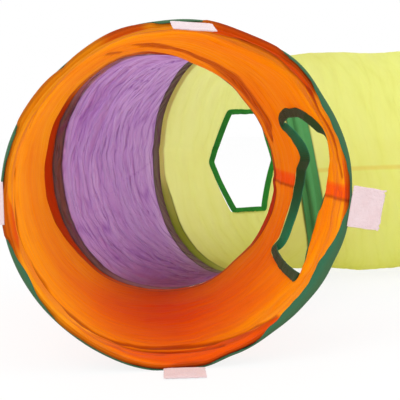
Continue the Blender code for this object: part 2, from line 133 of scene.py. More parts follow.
def around(turn, marks):
    """Periodic eased interpolation through marks of (degrees, value)."""
    degrees = np.degrees(np.asarray(turn)) % 360.0
    marks = sorted(marks)
    xs = np.array([m[0] for m in marks] + [marks[0][0] + 360.0])
    ys = np.array([m[1] for m in marks] + [marks[0][1]])
    degrees = np.where(degrees < xs[0], degrees + 360.0, degrees)
    k = np.clip(np.searchsorted(xs, degrees, side="right") - 1, 0, len(xs) - 2)
    share = ease((degrees - xs[k]) / (xs[k + 1] - xs[k]))
    return ys[k] * (1 - share) + ys[k + 1] * share


def seed_of(name):
    """Seed for noise: the sum of a name's character codes."""
    return sum(ord(ch) for ch in name)


def unit(way):
    """Directions scaled to a length of one."""
    return way / np.linalg.norm(way, axis=-1, keepdims=True)


def full_turn(count):
    """Equal angles round a full turn, the last a step short of the first."""
    return np.linspace(0.0, math.tau, count, endpoint=False)


def running(steps):
    """Running total of steps, starting at zero."""
    return np.concatenate([[0.0], np.cumsum(steps)])


def closed_line(marks, count, passes):
    """Closed line through marks: rows evenly spaced over their first two values, then rounded.

    Each pass moves a row to a quarter of the row before, half of itself and a quarter of the next.
    """
    ring = np.concatenate([marks, marks[:1]])
    stops = running(np.hypot(np.diff(ring[:, 0]), np.diff(ring[:, 1])))
    t = np.arange(count) * stops[-1] / count
    line = np.stack([np.interp(t, stops, column) for column in ring.T], 1)
    for _ in range(passes):
        line = 0.25 * np.roll(line, 1, 0) + 0.5 * line + 0.25 * np.roll(line, -1, 0)
    return line


# Hoops


def direction(heading):
    """Level unit vector at a heading, clockwise from +Y seen from above."""
    return np.array([math.sin(heading), math.cos(heading), 0.0])


class Hoop:
    """A hoop's plane: centre, level axis a, upward axis b and normal n along the tunnel."""

    def __init__(self, name, centre, heading_deg, lean_deg=0.0, swell=((0, 0.0), (180, 0.0)), uneven=0.3):
        heading = math.radians(heading_deg)
        lean = math.radians(lean_deg)
        level = direction(heading)
        self.name = name
        self.centre = np.array(centre)
        self.swell = swell
        self.uneven = uneven
        self.a = direction(heading + math.pi / 2)
        self.b = (UP * math.cos(lean) - level * math.sin(lean)) * ROUND_FIT
        self.n = level * math.cos(lean) + UP * math.sin(lean)

    def radial(self, turn):
        """Outward direction at an angle: cosine along a plus sine along b."""
        turn = np.asarray(turn, dtype=float)[..., None]
        return np.cos(turn) * self.a + np.sin(turn) * self.b

    def ring(self, turn, radius, along=0.0):
        """Point of the hoop's circle of a radius, out of true by its swell, moved along the tunnel."""
        arc = np.asarray(turn, dtype=float) / math.tau
        lobes = ripple(arc, 23, len(self.name), 0.5) + 0.5 * ripple(arc, 41, 7, 3.5)
        swell = around(turn, self.swell) + self.uneven * lobes
        radius = np.asarray(radius + MM * swell, dtype=float)[..., None]
        along = np.asarray(along, dtype=float)[..., None]
        return self.centre + radius * self.radial(turn) + along * self.n


# How far each hoop's cloth and tape stand off its true circle: degrees and millimetres
FRONT_SWELL = (
    (0, 0.1), (14, 1.3), (32, 1.0), (48, 3.2), (66, 1.0), (80, 1.2), (100, 0.3), (132, -1.3),
    (168, 0.8), (198, 0.8), (232, -0.4), (258, 1.6), (276, 0.2), (288, -3.2), (304, -5.0), (316, -4.0),
    (334, -2.7), (348, -0.7),
)
INLET_SWELL = (
    (0, 4.0), (10, 3.4), (22, 1.6), (42, -1.2), (64, -2.0), (82, -0.4), (100, 1.2), (125, 0.0),
    (150, -3.0), (168, -5.0), (192, -4.6), (210, -2.6), (226, -1.6), (245, 0.6), (262, 0.0), (292, 1.2),
    (312, 0.4), (334, 3.0), (352, 4.6), (357, 2.8),
)
MITRE_SWELL = (
    (60, 0.5), (109, 3.4), (131, 2.4), (152, 3.4), (168, 2.0), (173, 4.0), (178, 2.6), (196, 2.6),
    (218, 0.6), (240, -3.6), (256, -4.4), (282, -0.5),
)
HOOPS = {
    "front": Hoop("front", (-0.175381, -0.254059, 0.124615), 0.0, 0.0, FRONT_SWELL, 0.5),
    "inlet": Hoop("inlet", (-0.175381, 0.025941, 0.124615), 24.0, 0.0, INLET_SWELL, 1.0),
    "mitre": Hoop("mitre", (-0.102562, 0.117595, 0.124615), 64.0, 0.0, MITRE_SWELL, 0.8),
    "outlet": Hoop("outlet", (-0.004916, 0.133935, 0.123104), 97.0, 10.0),
    "end": Hoop("end", (0.295084, 0.133935, 0.124615), 90.0),
}


# Sleeve surfaces

# Width of the green lip that shows at each mouth: degrees and millimetres
GREEN_LIP = (
    (4, 1.4), (9, 2.8), (18, 5.0), (31, 5.8), (36, 4.2), (41, 2.2), (50, 2.0), (54, 0.6), (57, 0.0),
    (80, 0.0), (84, 1.6), (95, 1.6), (99, 0.0), (152, 0.0), (158, 1.7), (172, 1.5), (177, 0.0),
    (190, 0.0), (196, 3.4), (206, 5.2), (216, 2.0), (224, 0.6), (240, 0.9), (262, 1.2), (272, 0.8),
    (284, 2.2), (296, 1.6), (304, 6.2), (318, 8.4), (338, 8.6), (350, 5.6), (356, 2.0),
)
END_LIP = ((0, 1.4), (120, 1.0), (240, 1.6))

# Marks of a value of one all round
EVEN = ((0, 1.0), (180, 1.0))


def lip_share(turn):
    """From 0, where the cloth is folded over the tape, to 1, where the green lip shows at the mouth."""
    return ease(around(turn, GREEN_LIP) / 1.1)


class Sleeve:
    """Fabric tube between two hoops.

    A line along it leaves and meets the hoops partly square, as a cubic curve, is drawn in at the
    waist, and turns round the wire at an open mouth. Folds are the depths in millimetres of long,
    thin, sharp and broad ones. A bump is a run, an angle, its half sizes along both, and a height.
    The other marks give a value at an angle: how much the waist is drawn in, how strong the painted
    shadow of the tape at each end is on the cloth, and how far the first tape reaches.
    """

    def __init__(self, name, start, finish, seed, folds, draw, bumps=(), open_start=False, open_finish=False,
                 seam=0.0, start_tape_shadow=EVEN, end_tape_shadow=EVEN, start_reach=None):
        self.name = name
        self.start = HOOPS[start]
        self.finish = HOOPS[finish]
        self.seed = seed
        self.folds = folds
        self.draw = draw
        self.bumps = bumps
        self.open_start = open_start
        self.open_finish = open_finish
        self.seam = seam
        self.start_tape_shadow = start_tape_shadow
        self.end_tape_shadow = end_tape_shadow
        self.tapes = (END_TAPE if open_start else TAPE_HALF, END_TAPE if open_finish else TAPE_HALF)
        self.start_reach = start_reach or ((0, self.tapes[0] / MM), (180, self.tapes[0] / MM))

    def length(self, turn):
        """Straight distance between the two hoops' circles at an angle."""
        span = self.finish.ring(turn, CLOTH_RADIUS) - self.start.ring(turn, CLOTH_RADIUS)
        return np.linalg.norm(span, axis=-1)

    def outward(self, run, turn):
        """Unit direction away from the tube's middle."""
        share = np.clip(run / self.length(turn), 0.0, 1.0)[..., None]
        return unit((1 - share) * self.start.radial(turn) + share * self.finish.radial(turn))

    def base(self, run, turn, lift=0.0):
        """Smooth surface at a run along the tube and an angle, lifted outwards."""
        values = [np.asarray(value, dtype=float) for value in (run, turn, lift)]
        run, turn, lift = np.broadcast_arrays(*values)
        whole = self.length(turn)
        radius = CLOTH_RADIUS + lift
        p = self.start.ring(turn, radius, HUMP_FOOT)
        q = self.finish.ring(turn, radius, -HUMP_FOOT)
        span = (whole - 2 * HUMP_FOOT)[..., None]
        chord = unit(q - p)
        leave = SQUARE_SHARE * self.start.n + (1 - SQUARE_SHARE) * chord
        arrive = SQUARE_SHARE * self.finish.n + (1 - SQUARE_SHARE) * chord
        s = np.clip((run - HUMP_FOOT)[..., None] / span, 0.0, 1.0)
        point = (2 * s**3 - 3 * s**2 + 1) * p + (s**3 - 2 * s**2 + s) * span * leave
        point = point + (3 * s**2 - 2 * s**3) * q + (s**3 - s**2) * span * arrive
        point = point + np.clip(run - HUMP_FOOT, -HUMP_FOOT, 0.0)[..., None] * self.start.n
        point = point + np.clip(run - whole + HUMP_FOOT, 0.0, HUMP_FOOT)[..., None] * self.finish.n
        first = (run - self.tapes[0]) / WAIST_RUN
        last = (whole - run - self.tapes[1]) / WAIST_RUN
        settings = bpy.context.scene.tunnel_sizes
        draw = settings.waist_draw * ease(np.minimum(first, last)) * around(turn, self.draw)
        for at_run, at_turn, wide, high, size in self.bumps:
            swing = (np.degrees(turn) - at_turn + 180.0) % 360.0 - 180.0
            bump = bell((run - MM * at_run) / (MM * wide)) * bell(swing / high)
            draw = draw - MM * size * bump * ease(np.minimum(run - 0.002, whole - run) / 0.011)
        if self.open_start:
            point = point + self.roll(-run, turn, self.start, -1.0)
        if self.open_finish:
            point = point + self.roll(run - whole, turn, self.finish, 1.0)
        return point - draw[..., None] * self.outward(run, turn)

    def roll(self, past, turn, hoop, sense):
        """Offset of cloth that turns round the wire past an open mouth.

        It follows half an oval round the wire. Where the green lip shows, the oval is tighter and
        stops under the tape, and elsewhere it goes over the tape.
        """
        show = lip_share(turn) if sense < 0 else 0.6
        swing = np.maximum(past, 0.0) / ROLL * np.radians(215.0 - 60.0 * show)
        arc = turn / math.tau
        pinch = crease(arc * 15, 0 * arc + 2.5, self.seed + 14, 15, 6.0)
        uneven = 1 + 0.16 * ripple(arc, 26, self.seed + 13, 1.5) - 0.34 * pinch
        half_wide = 0.0031 - 0.0009 * show
        half_high = 0.0026 - 0.0005 * show
        along = sense * half_wide * np.sin(swing)
        height = half_high * (1 - np.cos(swing)) * uneven
        return along[..., None] * hoop.n + height[..., None] * hoop.radial(turn)

    def rows(self, count, turn):
        """Runs at count rows, closer together near the hoops and closest over an open mouth's hem."""
        whole = self.length(turn)[None, :]
        t = np.linspace(0.0, 1.0, count)[:, None]
        first = np.minimum(0.054 if self.open_start else 0.030, 0.40 * whole)
        last = np.minimum(0.030, 0.40 * whole)
        first_share = 0.31 if self.open_start else 0.22
        last_share = 0.20
        near = first * t / first_share
        far = whole - last * (1 - t) / last_share
        middle = first + (whole - first - last) * (t - first_share) / (1 - first_share - last_share)
        return np.where(t < first_share, near, np.where(t > 1 - last_share, far, middle))


def strokes(run, turn, lines):
    """Share of fold along lines, painted on the cloth as shade, each a strength and marks of (degrees, run,
    half width) in mm.

    A broad fold is gathered: narrow creases side by side, deeper and shallower in turn.
    """
    total = np.zeros(run.shape)
    for strength, marks in lines:
        marks = np.array(marks, dtype=float)
        at = marks[:, 0] - marks[0, 0]
        swing = (np.degrees(turn) - marks[0, 0]) % 360.0
        half = np.interp(swing, at, marks[:, 2])
        centre = np.interp(swing, at, marks[:, 1]) + 0.16 * half * noise(turn * 9, 0 * turn, 91)
        fade = ease(np.minimum(swing, at[-1] - swing) / 2.0)
        bend = 1.6 * noise(turn * 7, run / 0.03, 57)
        gathers = 0.5 + 0.5 * np.sin(math.tau * (run / MM - centre) / 9.5 + bend)
        fade = fade * (1 - 0.5 * ease((half - 9.0) / 6.0) * (1 - gathers))
        total = np.maximum(total, strength * fade * np.exp(-(((run / MM - centre) / half) ** 6)))
    return total


# Lines of folds, each a strength and marks of (degrees, run, half width) in mm, painted darker as shade on
# the orange and the purple cloth; the orange ones also press that cloth outwards
ORANGE_FOLDS = (
    (1.0, ((14, 200, 4), (24, 187, 22), (33, 184, 24), (42, 182, 25), (52, 174, 26), (62, 168, 22),
           (70, 172, 17), (80, 168, 14), (89, 156, 17), (98, 132, 15), (106, 106, 4))),
    (0.75, ((99, 201, 7), (104, 180, 11), (110, 153, 13), (117, 102, 8), (123, 93, 3))),
    (0.85, ((145, 46, 2), (150, 54, 6), (156, 67, 2))),
    (0.85, ((158, 54, 2), (163, 50, 6), (170, 56, 2))),
    (0.85, ((168, 31, 2), (177, 44, 3.5), (186, 46, 4.5), (194, 40, 5), (203, 40, 6), (208, 40, 9),
            (214, 39, 9), (218, 36, 5), (225, 28, 7.5), (232, 27, 7), (238, 28, 4), (244, 33, 3.6),
            (252, 40, 3.6), (260, 39, 4), (268, 40, 5), (278, 35, 3.6), (286, 26, 3.4), (293, 25, 3.4),
            (301, 15, 3), (309, 6, 2.4))),
    (0.7, ((244, 31, 2), (252, 31, 3), (260, 31, 3), (268, 27, 3), (277, 21, 3), (287, 9, 2.4))),
    (0.8, ((4, 6, 2), (12, 10, 2.4), (20, 7, 2.4), (30, 9, 2.6), (38, 5, 2.6), (47, 15, 3.2), (52, 9, 3),
           (60, 5, 2.6), (68, 6, 2.6), (76, 12, 2.4), (82, 14, 1.6))),
)
PURPLE_FOLDS = (
    (0.45, ((100, 84, 2), (111, 80, 3), (113, 44, 3), (118, 20, 2))),
    (0.35, ((178, 190, 2), (184, 160, 4), (190, 118, 2))),
    (0.35, ((224, 41, 2), (230, 73, 3), (243, 78, 2))),
)

# Painted shade on the orange cloth by degrees: its strength, greatest low down, and the reach in mm and
# strength of the painted shade on the rim at the mouth
ORANGE_SHADE = (
    (0, 0.30), (60, 0.25), (100, 0.10), (140, 0.0), (200, 0.0), (225, 0.12), (250, 0.45), (275, 0.7),
    (300, 0.5), (325, 0.30),
)
RIM_SHADE_REACH = (
    (0, 2), (12, 4), (30, 6), (47, 10), (60, 4), (76, 8), (84, 2), (99, 1), (107, 3), (116, 1), (176, 3),
    (190, 14), (200, 4), (224, 6), (234, 16), (244, 26), (260, 32), (278, 28), (293, 20), (301, 11),
    (311, 3),
)
RIM_SHADE = (
    (0, 0.9), (8, 0.8), (16, 0.2), (34, 0.1), (39, 0.9), (56, 1.0), (74, 1.0), (84, 0.2), (99, 0.0),
    (103, 0.9), (111, 0.9), (118, 0.0), (168, 0.0), (180, 0.6), (192, 0.7), (204, 0.0), (224, 0.1),
    (236, 0.45), (256, 0.7), (270, 1.0), (290, 1.0), (311, 1.0), (330, 0.3), (350, 0.5),
)


def wrinkles(sleeve, run, turn, depth):
    """Inward and outward folds of slack cloth.

    Long narrow folds lie round the tube, crowd together where it is short and slant a little,
    gathers run along it beside each tape, and sharp creases and broad hollows cross the waist.
    Under the tapes the cloth only moves inwards.
    """
    whole = sleeve.length(turn)
    near = np.minimum(run, whole - run)
    arc = turn / math.tau
    seed = sleeve.seed
    tape = np.where(run < whole / 2, sleeve.tapes[0], sleeve.tapes[1])
    open_part = ease((near - tape) / 0.012)
    far_part = ease((near - tape) / 0.03)
    size = np.clip(whole / 0.15, 0.25, 1.0)
    share = run / whole * np.maximum(np.max(whole), 0.1)
    drift = noise(arc * 6, share / 0.06, seed + 1, 6)
    slant = 0.55 * drift + 1.2 * noise(arc * 3, share / 0.15, seed + 21, 3)
    long_folds = noise(arc * 15 + 0.4 * drift, share / 0.0085 + slant * 1.8, seed + 2, 15)
    thin_folds = noise(arc * 24 - 0.5 * drift, share / 0.0042 + slant * 3.2, seed + 3, 24)
    lines = crease(arc * 11 + drift, share / 0.017 + slant * 1.3, seed + 6, 11, 9.0)
    fine_lines = crease(arc * 19 - drift, share / 0.0095 - slant * 1.9, seed + 7, 19, 8.0)
    broad = noise(arc * 7 + drift, share / 0.05 + 3, seed + 4, 7)
    gathers = noise(arc * 64 + drift, run / 0.10, seed + 5, 64)
    fade = np.exp(-np.maximum(near - tape * 0.6, 0.0) / 0.016)
    a_long, a_thin, a_line, a_broad = sleeve.folds
    free = MM * size * (a_long * long_folds + a_thin * thin_folds) * far_part
    free = free - MM * size * a_line * (0.8 * lines + 0.55 * fine_lines) * far_part
    free = free + MM * size * a_broad * broad * far_part + 0.0005 * gathers * fade
    held = -np.abs(0.0005 * gathers) * 0.8
    if sleeve.open_start:
        hem = ease(run / 0.006) * ease((0.06 - run) / 0.02)
        kinks = crease(arc * 17, run / 0.05 + 0.4 * drift, seed + 12, 17, 4.0)
        frill = noise(arc * 23, run / 0.012 + drift, seed + 11, 23)
        free = free + hem * (0.0010 * frill - 0.0011 * kinks)
        held = held + hem * (0.0009 * frill - 0.0009 * kinks - 0.0009)
    return depth * (held * (1 - open_part) + free * open_part)


# Mesh helpers


def lay_mesh(name, points, quads, uv=None, values=None, closed=False):
    """Mesh from arrays of points and quads; a closed one is turned so that its faces look outwards."""
    points = np.asarray(points, dtype=np.float64).reshape(-1, 3)
    quads = np.asarray(quads, dtype=np.int64).reshape(-1, 4)
    if closed:
        a, b, c, d = (points[quads[:, k]] for k in range(4))
        volume = (a * (np.cross(b, c) + np.cross(c, d))).sum()
        if volume < 0:
            quads = quads[:, ::-1]
            uv = None if uv is None else uv[:, ::-1]
    mesh = bpy.data.meshes.new(name)
    mesh.vertices.add(len(points))
    mesh.vertices.foreach_set("co", points.astype(np.float32).ravel())
    mesh.loops.add(quads.size)
    mesh.loops.foreach_set("vertex_index", quads.astype(np.int32).ravel())
    mesh.polygons.add(len(quads))
    mesh.polygons.foreach_set("loop_start", np.arange(0, quads.size, 4, dtype=np.int32))
    mesh.polygons.foreach_set("use_smooth", np.ones(len(quads), dtype=bool))
    if uv is not None:
        layer = mesh.uv_layers.new(name="cloth")
        layer.data.foreach_set("uv", np.asarray(uv, dtype=np.float32).ravel())
    for key, value in (values or {}).items():
        attribute = mesh.attributes.new(key, "FLOAT", "POINT")
        attribute.data.foreach_set("value", np.asarray(value, dtype=np.float32).ravel())
    mesh.update(calc_edges=True)
    mesh.validate()
    piece = bpy.data.objects.new(name, mesh)
    bpy.context.scene.collection.objects.link(piece)
    return piece


def grid_quads(rows, cols, wrap_rows=False, wrap_cols=False):
    """Quads over a grid of points, and the row and column of each quad."""
    i, j = np.meshgrid(np.arange(rows - (not wrap_rows)), np.arange(cols - (not wrap_cols)), indexing="ij")
    i = i.ravel()
    j = j.ravel()
    i2 = (i + 1) % rows
    j2 = (j + 1) % cols
    quads = np.stack([i * cols + j, i2 * cols + j, i2 * cols + j2, i * cols + j2], 1)
    return quads, i, j


def grid_uv(i, j, across, along):
    """Loop coordinates of a grid: its across and along values, both given one step past a wrap."""
    across, along = np.broadcast_arrays(across, along)
    corners = ((i, j), (i + 1, j), (i + 1, j + 1), (i, j + 1))
    return np.stack([np.stack([across[at], along[at]], -1) for at in corners], 1)


def weld(piece, distance=1e-6):
    """Merges coincident points, such as those of a pole."""
    work = bmesh.new()
    work.from_mesh(piece.data)
    bmesh.ops.remove_doubles(work, verts=work.verts, dist=distance)
    bmesh.ops.dissolve_degenerate(work, dist=1e-9, edges=work.edges)
    bmesh.ops.recalc_face_normals(work, faces=work.faces)
    work.to_mesh(piece.data)
    work.free()
    return piece


# Materials


class Shader:
    """Adds and joins the shader nodes of a material or a world.

    A socket is named, or numbered from 0, and is given a value or another node's output.
    """

    def __init__(self, owner, output="OutputMaterial"):
        owner.use_nodes = True
        self.owner = owner
        self.tree = owner.node_tree
        self.tree.nodes.clear()
        self.output = self.node(output)

    def node(self, kind, settings=None, **inputs):
        made = self.tree.nodes.new("ShaderNode" + kind)
        for key, value in (settings or {}).items():
            setattr(made, key, value)
        for key, value in inputs.items():
            self.put(made, key.replace("_", " "), value)
        return made

    def put(self, made, key, value):
        socket = made.inputs[key]
        if isinstance(value, bpy.types.NodeSocket):
            self.tree.links.new(value, socket)
        else:
            socket.default_value = value

    def math(self, operation, *values, clamp=False):
        made = self.node("Math", {"operation": operation, "use_clamp": clamp})
        for k, value in enumerate(values):
            self.put(made, k, value)
        return made.outputs[0]

    def times(self, first, second, clamp=False):
        return self.math("MULTIPLY", first, second, clamp=clamp)

    def plus(self, first, second):
        return self.math("ADD", first, second)

    def minus(self, first, second, clamp=False):
        return self.math("SUBTRACT", first, second, clamp=clamp)

    def mix(self, factor, first, second):
        made = self.node("Mix", {"data_type": "RGBA"})
        for k, value in ((0, factor), (6, first), (7, second)):
            self.put(made, k, value)
        return made.outputs[2]

    def noise(self, scale, vector, detail=3.0, roughness=0.55, distortion=0.0):
        made = self.node("TexNoise", Vector=vector, Scale=scale, Detail=detail,
                         Roughness=roughness, Distortion=distortion)
        return made.outputs[0]

    def attribute(self, name):
        return self.node("Attribute", {"attribute_name": name}).outputs["Fac"]

    def uv(self):
        return self.node("UVMap", {"uv_map": "cloth"}).outputs[0]

    def place(self):
        return self.node("TexCoord").outputs["Object"]

    def wave(self, vector, axis, pitch):
        """Angle that goes once round for each pitch in metres along one axis."""
        parts = self.node("SeparateXYZ", Vector=vector)
        return self.times(parts.outputs[axis], math.tau / pitch)

    def net(self, vector, scale, wander, wander_scale):
        """Distance to the closest crease of a stretched, wandering net of cells."""
        drift = self.node("TexNoise", Vector=vector, Scale=wander_scale, Detail=2.0)
        moved = self.node("VectorMath", {"operation": "MULTIPLY_ADD"})
        for k, value in enumerate((drift.outputs["Color"], (wander, wander, 0.0), vector)):
            self.put(moved, k, value)
        stretched = self.node("Mapping", Vector=moved.outputs[0], Scale=scale)
        cells = self.node("TexVoronoi", {"feature": "DISTANCE_TO_EDGE", "voronoi_dimensions": "2D"},
                          Vector=stretched.outputs[0], Scale=1.0)
        return cells.outputs["Distance"]

    def bump(self, height, distance, strength, normal=None):
        made = self.node("Bump", Height=height, Distance=distance, Strength=strength)
        if normal is not None:
            self.put(made, "Normal", normal)
        return made.outputs[0]

    def skin(self, colour, roughness, **inputs):
        made = self.node("BsdfPrincipled", Base_Color=colour, Roughness=roughness, **inputs)
        return made.outputs[0]

    def blend(self, factor, first, second):
        made = self.node("MixShader")
        for k, value in enumerate((factor, first, second)):
            self.put(made, k, value)
        return made.outputs[0]

    def done(self, surface):
        self.put(self.output, "Surface", surface)
        return self.owner


def linear(red, green, blue):
    """Colour written as screen values from 0 to 255, as linear light."""
    def one(value):
        value = value / 255.0
        return value / 12.92 if value <= 0.04045 else ((value + 0.055) / 1.055) ** 2.4
    return (one(red), one(green), one(blue), 1.0)


def cloth_finish(name, main, deep, pale, tape_shadow_tint, seamed, dark, through, fine, stretch=1.0):
    """Thin coated taffeta: light shows through it, tapes behind it darken it with painted shadow, and it is
    crumpled.

    The crumples are a net of sharp creases, long round the tube and short along it, in two sizes,
    with painted shade in the creases and a painted highlight between them.
    """
    f = Shader(bpy.data.materials.new(name))
    uv = f.uv()
    place = f.place()
    tone = f.noise(9.0, place)
    line = f.attribute("line")
    lined = f.times(f.attribute("lined"), 0.8)
    wide_net = f.net(uv, (9.0 * stretch, 84.0 * stretch, 1.0), 0.026, 13.0)
    fine_net = f.net(uv, (24.0 * stretch, 200.0 * stretch, 1.0), 0.012, 32.0)
    patches = f.times(f.minus(f.noise(14.0, place, 2.0), 0.42, clamp=True), 5.0, clamp=True)
    # Painted shade in the crumples' creases, in patches
    wide_line = f.minus(1.0, f.times(wide_net, 11.0), clamp=True)
    fine_line = f.minus(1.0, f.times(fine_net, 7.0), clamp=True)
    creases = f.plus(f.times(wide_line, 0.70 * fine), f.times(fine_line, 0.42 * fine))
    creases = f.times(creases, f.plus(0.25, f.times(patches, 0.75)))
    colour = f.mix(f.times(f.minus(tone, 0.40, clamp=True), 1.3, clamp=True), main, deep)
    # Painted highlight on the crumples away from their creases
    colour = f.mix(f.times(wide_net, 0.55, clamp=True), colour, pale)
    colour = f.mix(lined, colour, pale)
    # Painted shade in folds, the seam's tint, and the painted shadow of the tapes behind
    for share, tint in (("painted_shade", deep), ("seam", seamed), ("tape_shadow", tape_shadow_tint)):
        colour = f.mix(f.attribute(share), colour, tint)
    # Painted dark lines: shade along tape edges, folds, the rim and the rolled hem, and the seam's edge; the
    # light through the cloth carries the painted crease shade and lines too
    glowing = f.mix(line, f.mix(creases, colour, deep), dark)
    colour = f.mix(line, f.mix(creases, colour, f.mix(0.45, deep, dark)), dark)
    weave = f.times(f.math("SINE", f.wave(uv, 0, 0.00062)), f.math("SINE", f.wave(uv, 1, 0.00055)))
    normal = f.bump(weave, 0.00008, 0.5)
    normal = f.bump(f.noise(52.0, place, 4.0, 0.6, 0.5), 0.0018, 0.5, normal)
    normal = f.bump(wide_net, 0.0105, 0.85 * fine, normal)
    normal = f.bump(fine_net, 0.0048, 0.7 * fine, normal)
    skin = f.skin(colour, f.plus(f.times(tone, 0.12), 0.44), Normal=normal, Specular_IOR_Level=0.10,
                  Sheen_Weight=0.01, Sheen_Roughness=0.4)
    glow = f.node("BsdfTranslucent", Color=glowing, Normal=normal)
    return f.done(f.blend(f.times(f.minus(1.0, lined), through), skin, glow.outputs[0]))


def tape_finish(name, main, edge, dark):
    """Woven polyester tape: herringbone ribs and paler selvedges."""
    f = Shader(bpy.data.materials.new(name))
    uv = f.uv()
    place = f.place()
    zigzag = f.times(f.math("ABSOLUTE", f.math("SINE", f.wave(uv, 1, 0.0026))), 2.4)
    weave = f.math("SINE", f.plus(f.wave(uv, 0, 0.0011), zigzag))
    tone = f.noise(30.0, place, 4.0, 0.6)
    colour = f.mix(f.times(tone, 0.75, clamp=True), main, dark)
    colour = f.mix(f.attribute("edge"), colour, edge)
    colour = f.mix(f.times(f.plus(weave, 1.0), 0.10), colour, edge)
    normal = f.bump(weave, 0.00012, 0.7)
    normal = f.bump(f.noise(140.0, place), 0.0008, 0.5, normal)
    return f.done(f.skin(colour, f.plus(f.times(tone, 0.15), 0.65), Normal=normal, Specular_IOR_Level=0.2,
                         Sheen_Weight=0.08, Sheen_Roughness=0.45))


def pile_finish(name, main, deep):
    """Hook-and-loop tape: short fuzzy pile in soft clumps."""
    f = Shader(bpy.data.materials.new(name))
    place = f.place()
    clumps = f.noise(420.0, place, 5.0, 0.7)
    colour = f.mix(f.times(f.noise(90.0, place), 0.9, clamp=True), main, deep)
    colour = f.mix(f.times(clumps, 0.35, clamp=True), colour, deep)
    return f.done(f.skin(colour, f.plus(f.times(clumps, 0.1), 0.85), Normal=f.bump(clumps, 0.0012, 0.9),
                         Sheen_Weight=0.6, Sheen_Roughness=0.5))


def steel_finish(name, main, roughness):
    """Spring steel with fine marks and a few dull spots."""
    f = Shader(bpy.data.materials.new(name))
    place = f.place()
    spots = f.noise(60.0, place, 4.0)
    colour = f.mix(f.times(spots, 0.5), main, (0.30, 0.29, 0.28, 1.0))
    normal = f.bump(f.noise(900.0, place, 2.0), 0.0001, 0.3)
    return f.done(f.skin(colour, f.plus(f.times(spots, 0.25), roughness - 0.1), Normal=normal, Metallic=1.0))


def thread_finish(name, main):
    """Twisted sewing thread, half as bright in its hollows."""
    f = Shader(bpy.data.materials.new(name))
    twist = f.noise(1600.0, f.place(), 2.0)
    colour = f.mix(f.times(twist, 0.5), main, (main[0] * 0.5, main[1] * 0.5, main[2] * 0.5, 1.0))
    return f.done(f.skin(colour, 0.6, Normal=f.bump(twist, 0.0001, 0.5), Sheen_Weight=0.2))


# Each finish: its maker, its tints as a setting's name or as screen values, and its further numbers.
# A cloth's tints are its own; its deep tint, for random tone and for painted shade in folds and creases; its
# pale tint, for painted highlights on the crumples and for the cloth under the tapes; the painted shadow of
# the tapes behind it; its seamed tint; and its dark lines, at the seam and as painted shade elsewhere.
FINISHES = {
    "orange_taffeta": (
        cloth_finish,
        ("orange", (238, 92, 0), (255, 176, 24), (206, 76, 14), (250, 78, 14), (136, 44, 2)),
        {"through": 0.5, "fine": 0.35, "stretch": 0.8},
    ),
    "purple_taffeta": (
        cloth_finish,
        ("purple", (168, 108, 196), (224, 190, 238), (138, 120, 138), (90, 56, 96), (54, 28, 56)),
        {"through": 0.55, "fine": 0.9},
    ),
    "yellow_taffeta": (
        cloth_finish,
        ("yellow", (230, 226, 116), (248, 249, 182), (150, 168, 66), (236, 196, 78), (84, 104, 40)),
        {"through": 0.6, "fine": 0.15, "stretch": 0.6},
    ),
    "woven_tape": (tape_finish, ("green", (18, 104, 78), (66, 88, 58)), {}),
    "sunlit_tape": (tape_finish, ((78, 148, 78), (24, 124, 86), (66, 126, 66)), {}),
    # A darker copy of the green tape for the side window's binding, as painted shade
    "olive_tape": (tape_finish, ((34, 66, 24), (30, 120, 84), (28, 46, 14)), {}),
    # A brighter copy of the green tape for the six-sided window's binding, as painted light
    "bright_tape": (tape_finish, ((50, 158, 80), (60, 170, 92), (34, 124, 56)), {}),
    "white_pile": (pile_finish, ("tab", (206, 176, 178)), {}),
    "drawn_steel": (steel_finish, (), {"main": (0.62, 0.62, 0.64, 1.0), "roughness": 0.32}),
    "pressed_steel": (steel_finish, (), {"main": (0.52, 0.52, 0.53, 1.0), "roughness": 0.42}),
    "green_thread": (thread_finish, ((60, 110, 62),), {}),
}


def finish_for(name):
    """The material of a name, made the first time that a piece asks for it."""
    found = bpy.data.materials.get(name)
    if found is not None:
        return found
    make, tints, numbers = FINISHES[name]
    chosen = bpy.context.scene.tunnel_colours
    tints = [(*getattr(chosen, tint), 1.0) if isinstance(tint, str) else linear(*tint) for tint in tints]
    return make(name, *tints, **numbers)


def dress(piece, finish):
    """Gives a piece one finish."""
    piece.data.materials.clear()
    piece.data.materials.append(finish_for(finish))


def mount(piece, finish, body, node=None):
    """Dresses a piece that rides on one body, in the place of a node where it stands for one."""
    dress(piece, finish)
    if node is not None:
        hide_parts(node)
    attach(piece, body)


# Windows cut in the cloth

# Side window's outline on its wall: millimetres along and up, its binding's twist, and share of teal
WINDOW_MARKS = (
    (139, 96, -62, 0.7), (131, 120, -66, 0.1), (124, 136, -70, 0.0), (106, 146, -70, 0.0),
    (109, 154, -60, 0.5), (121, 164, -35, 0.9), (135, 171, -20, 0.9), (134, 178, -5, 0.4),
    (118, 183, 5, 0.0), (96, 187, 8, 0.0), (63, 188, 20, 0.0), (44, 186, 42, 0.0), (32, 180, 48, 0.0),
    (25, 172, 26, 0.0), (25, 165, -10, 0.0), (28, 155, -45, 0.0), (37, 136, -50, 0.0), (48, 121, -50, 0.0),
    (59, 102, -50, 0.0), (57, 86, -50, 0.0), (50, 71, -50, 0.0), (37, 57, -30, 0.0), (34, 53, 0, 0.0),
    (53, 53, 12, 0.0), (78, 54, 16, 0.0), (110, 57, 16, 0.0), (137, 61, 5, 0.2), (144, 65, -20, 0.8),
    (134, 74, -55, 0.9), (139, 86, -60, 0.8),
)


def window_outline():
    """Closed outline of the slack side window: distance along, height, twist and share of teal."""
    along, height, twist, teal = closed_line(np.array(WINDOW_MARKS, dtype=float), 320, 8).T
    return HOOPS["front"].centre[1] + MM * along, MM * height, np.radians(twist), teal


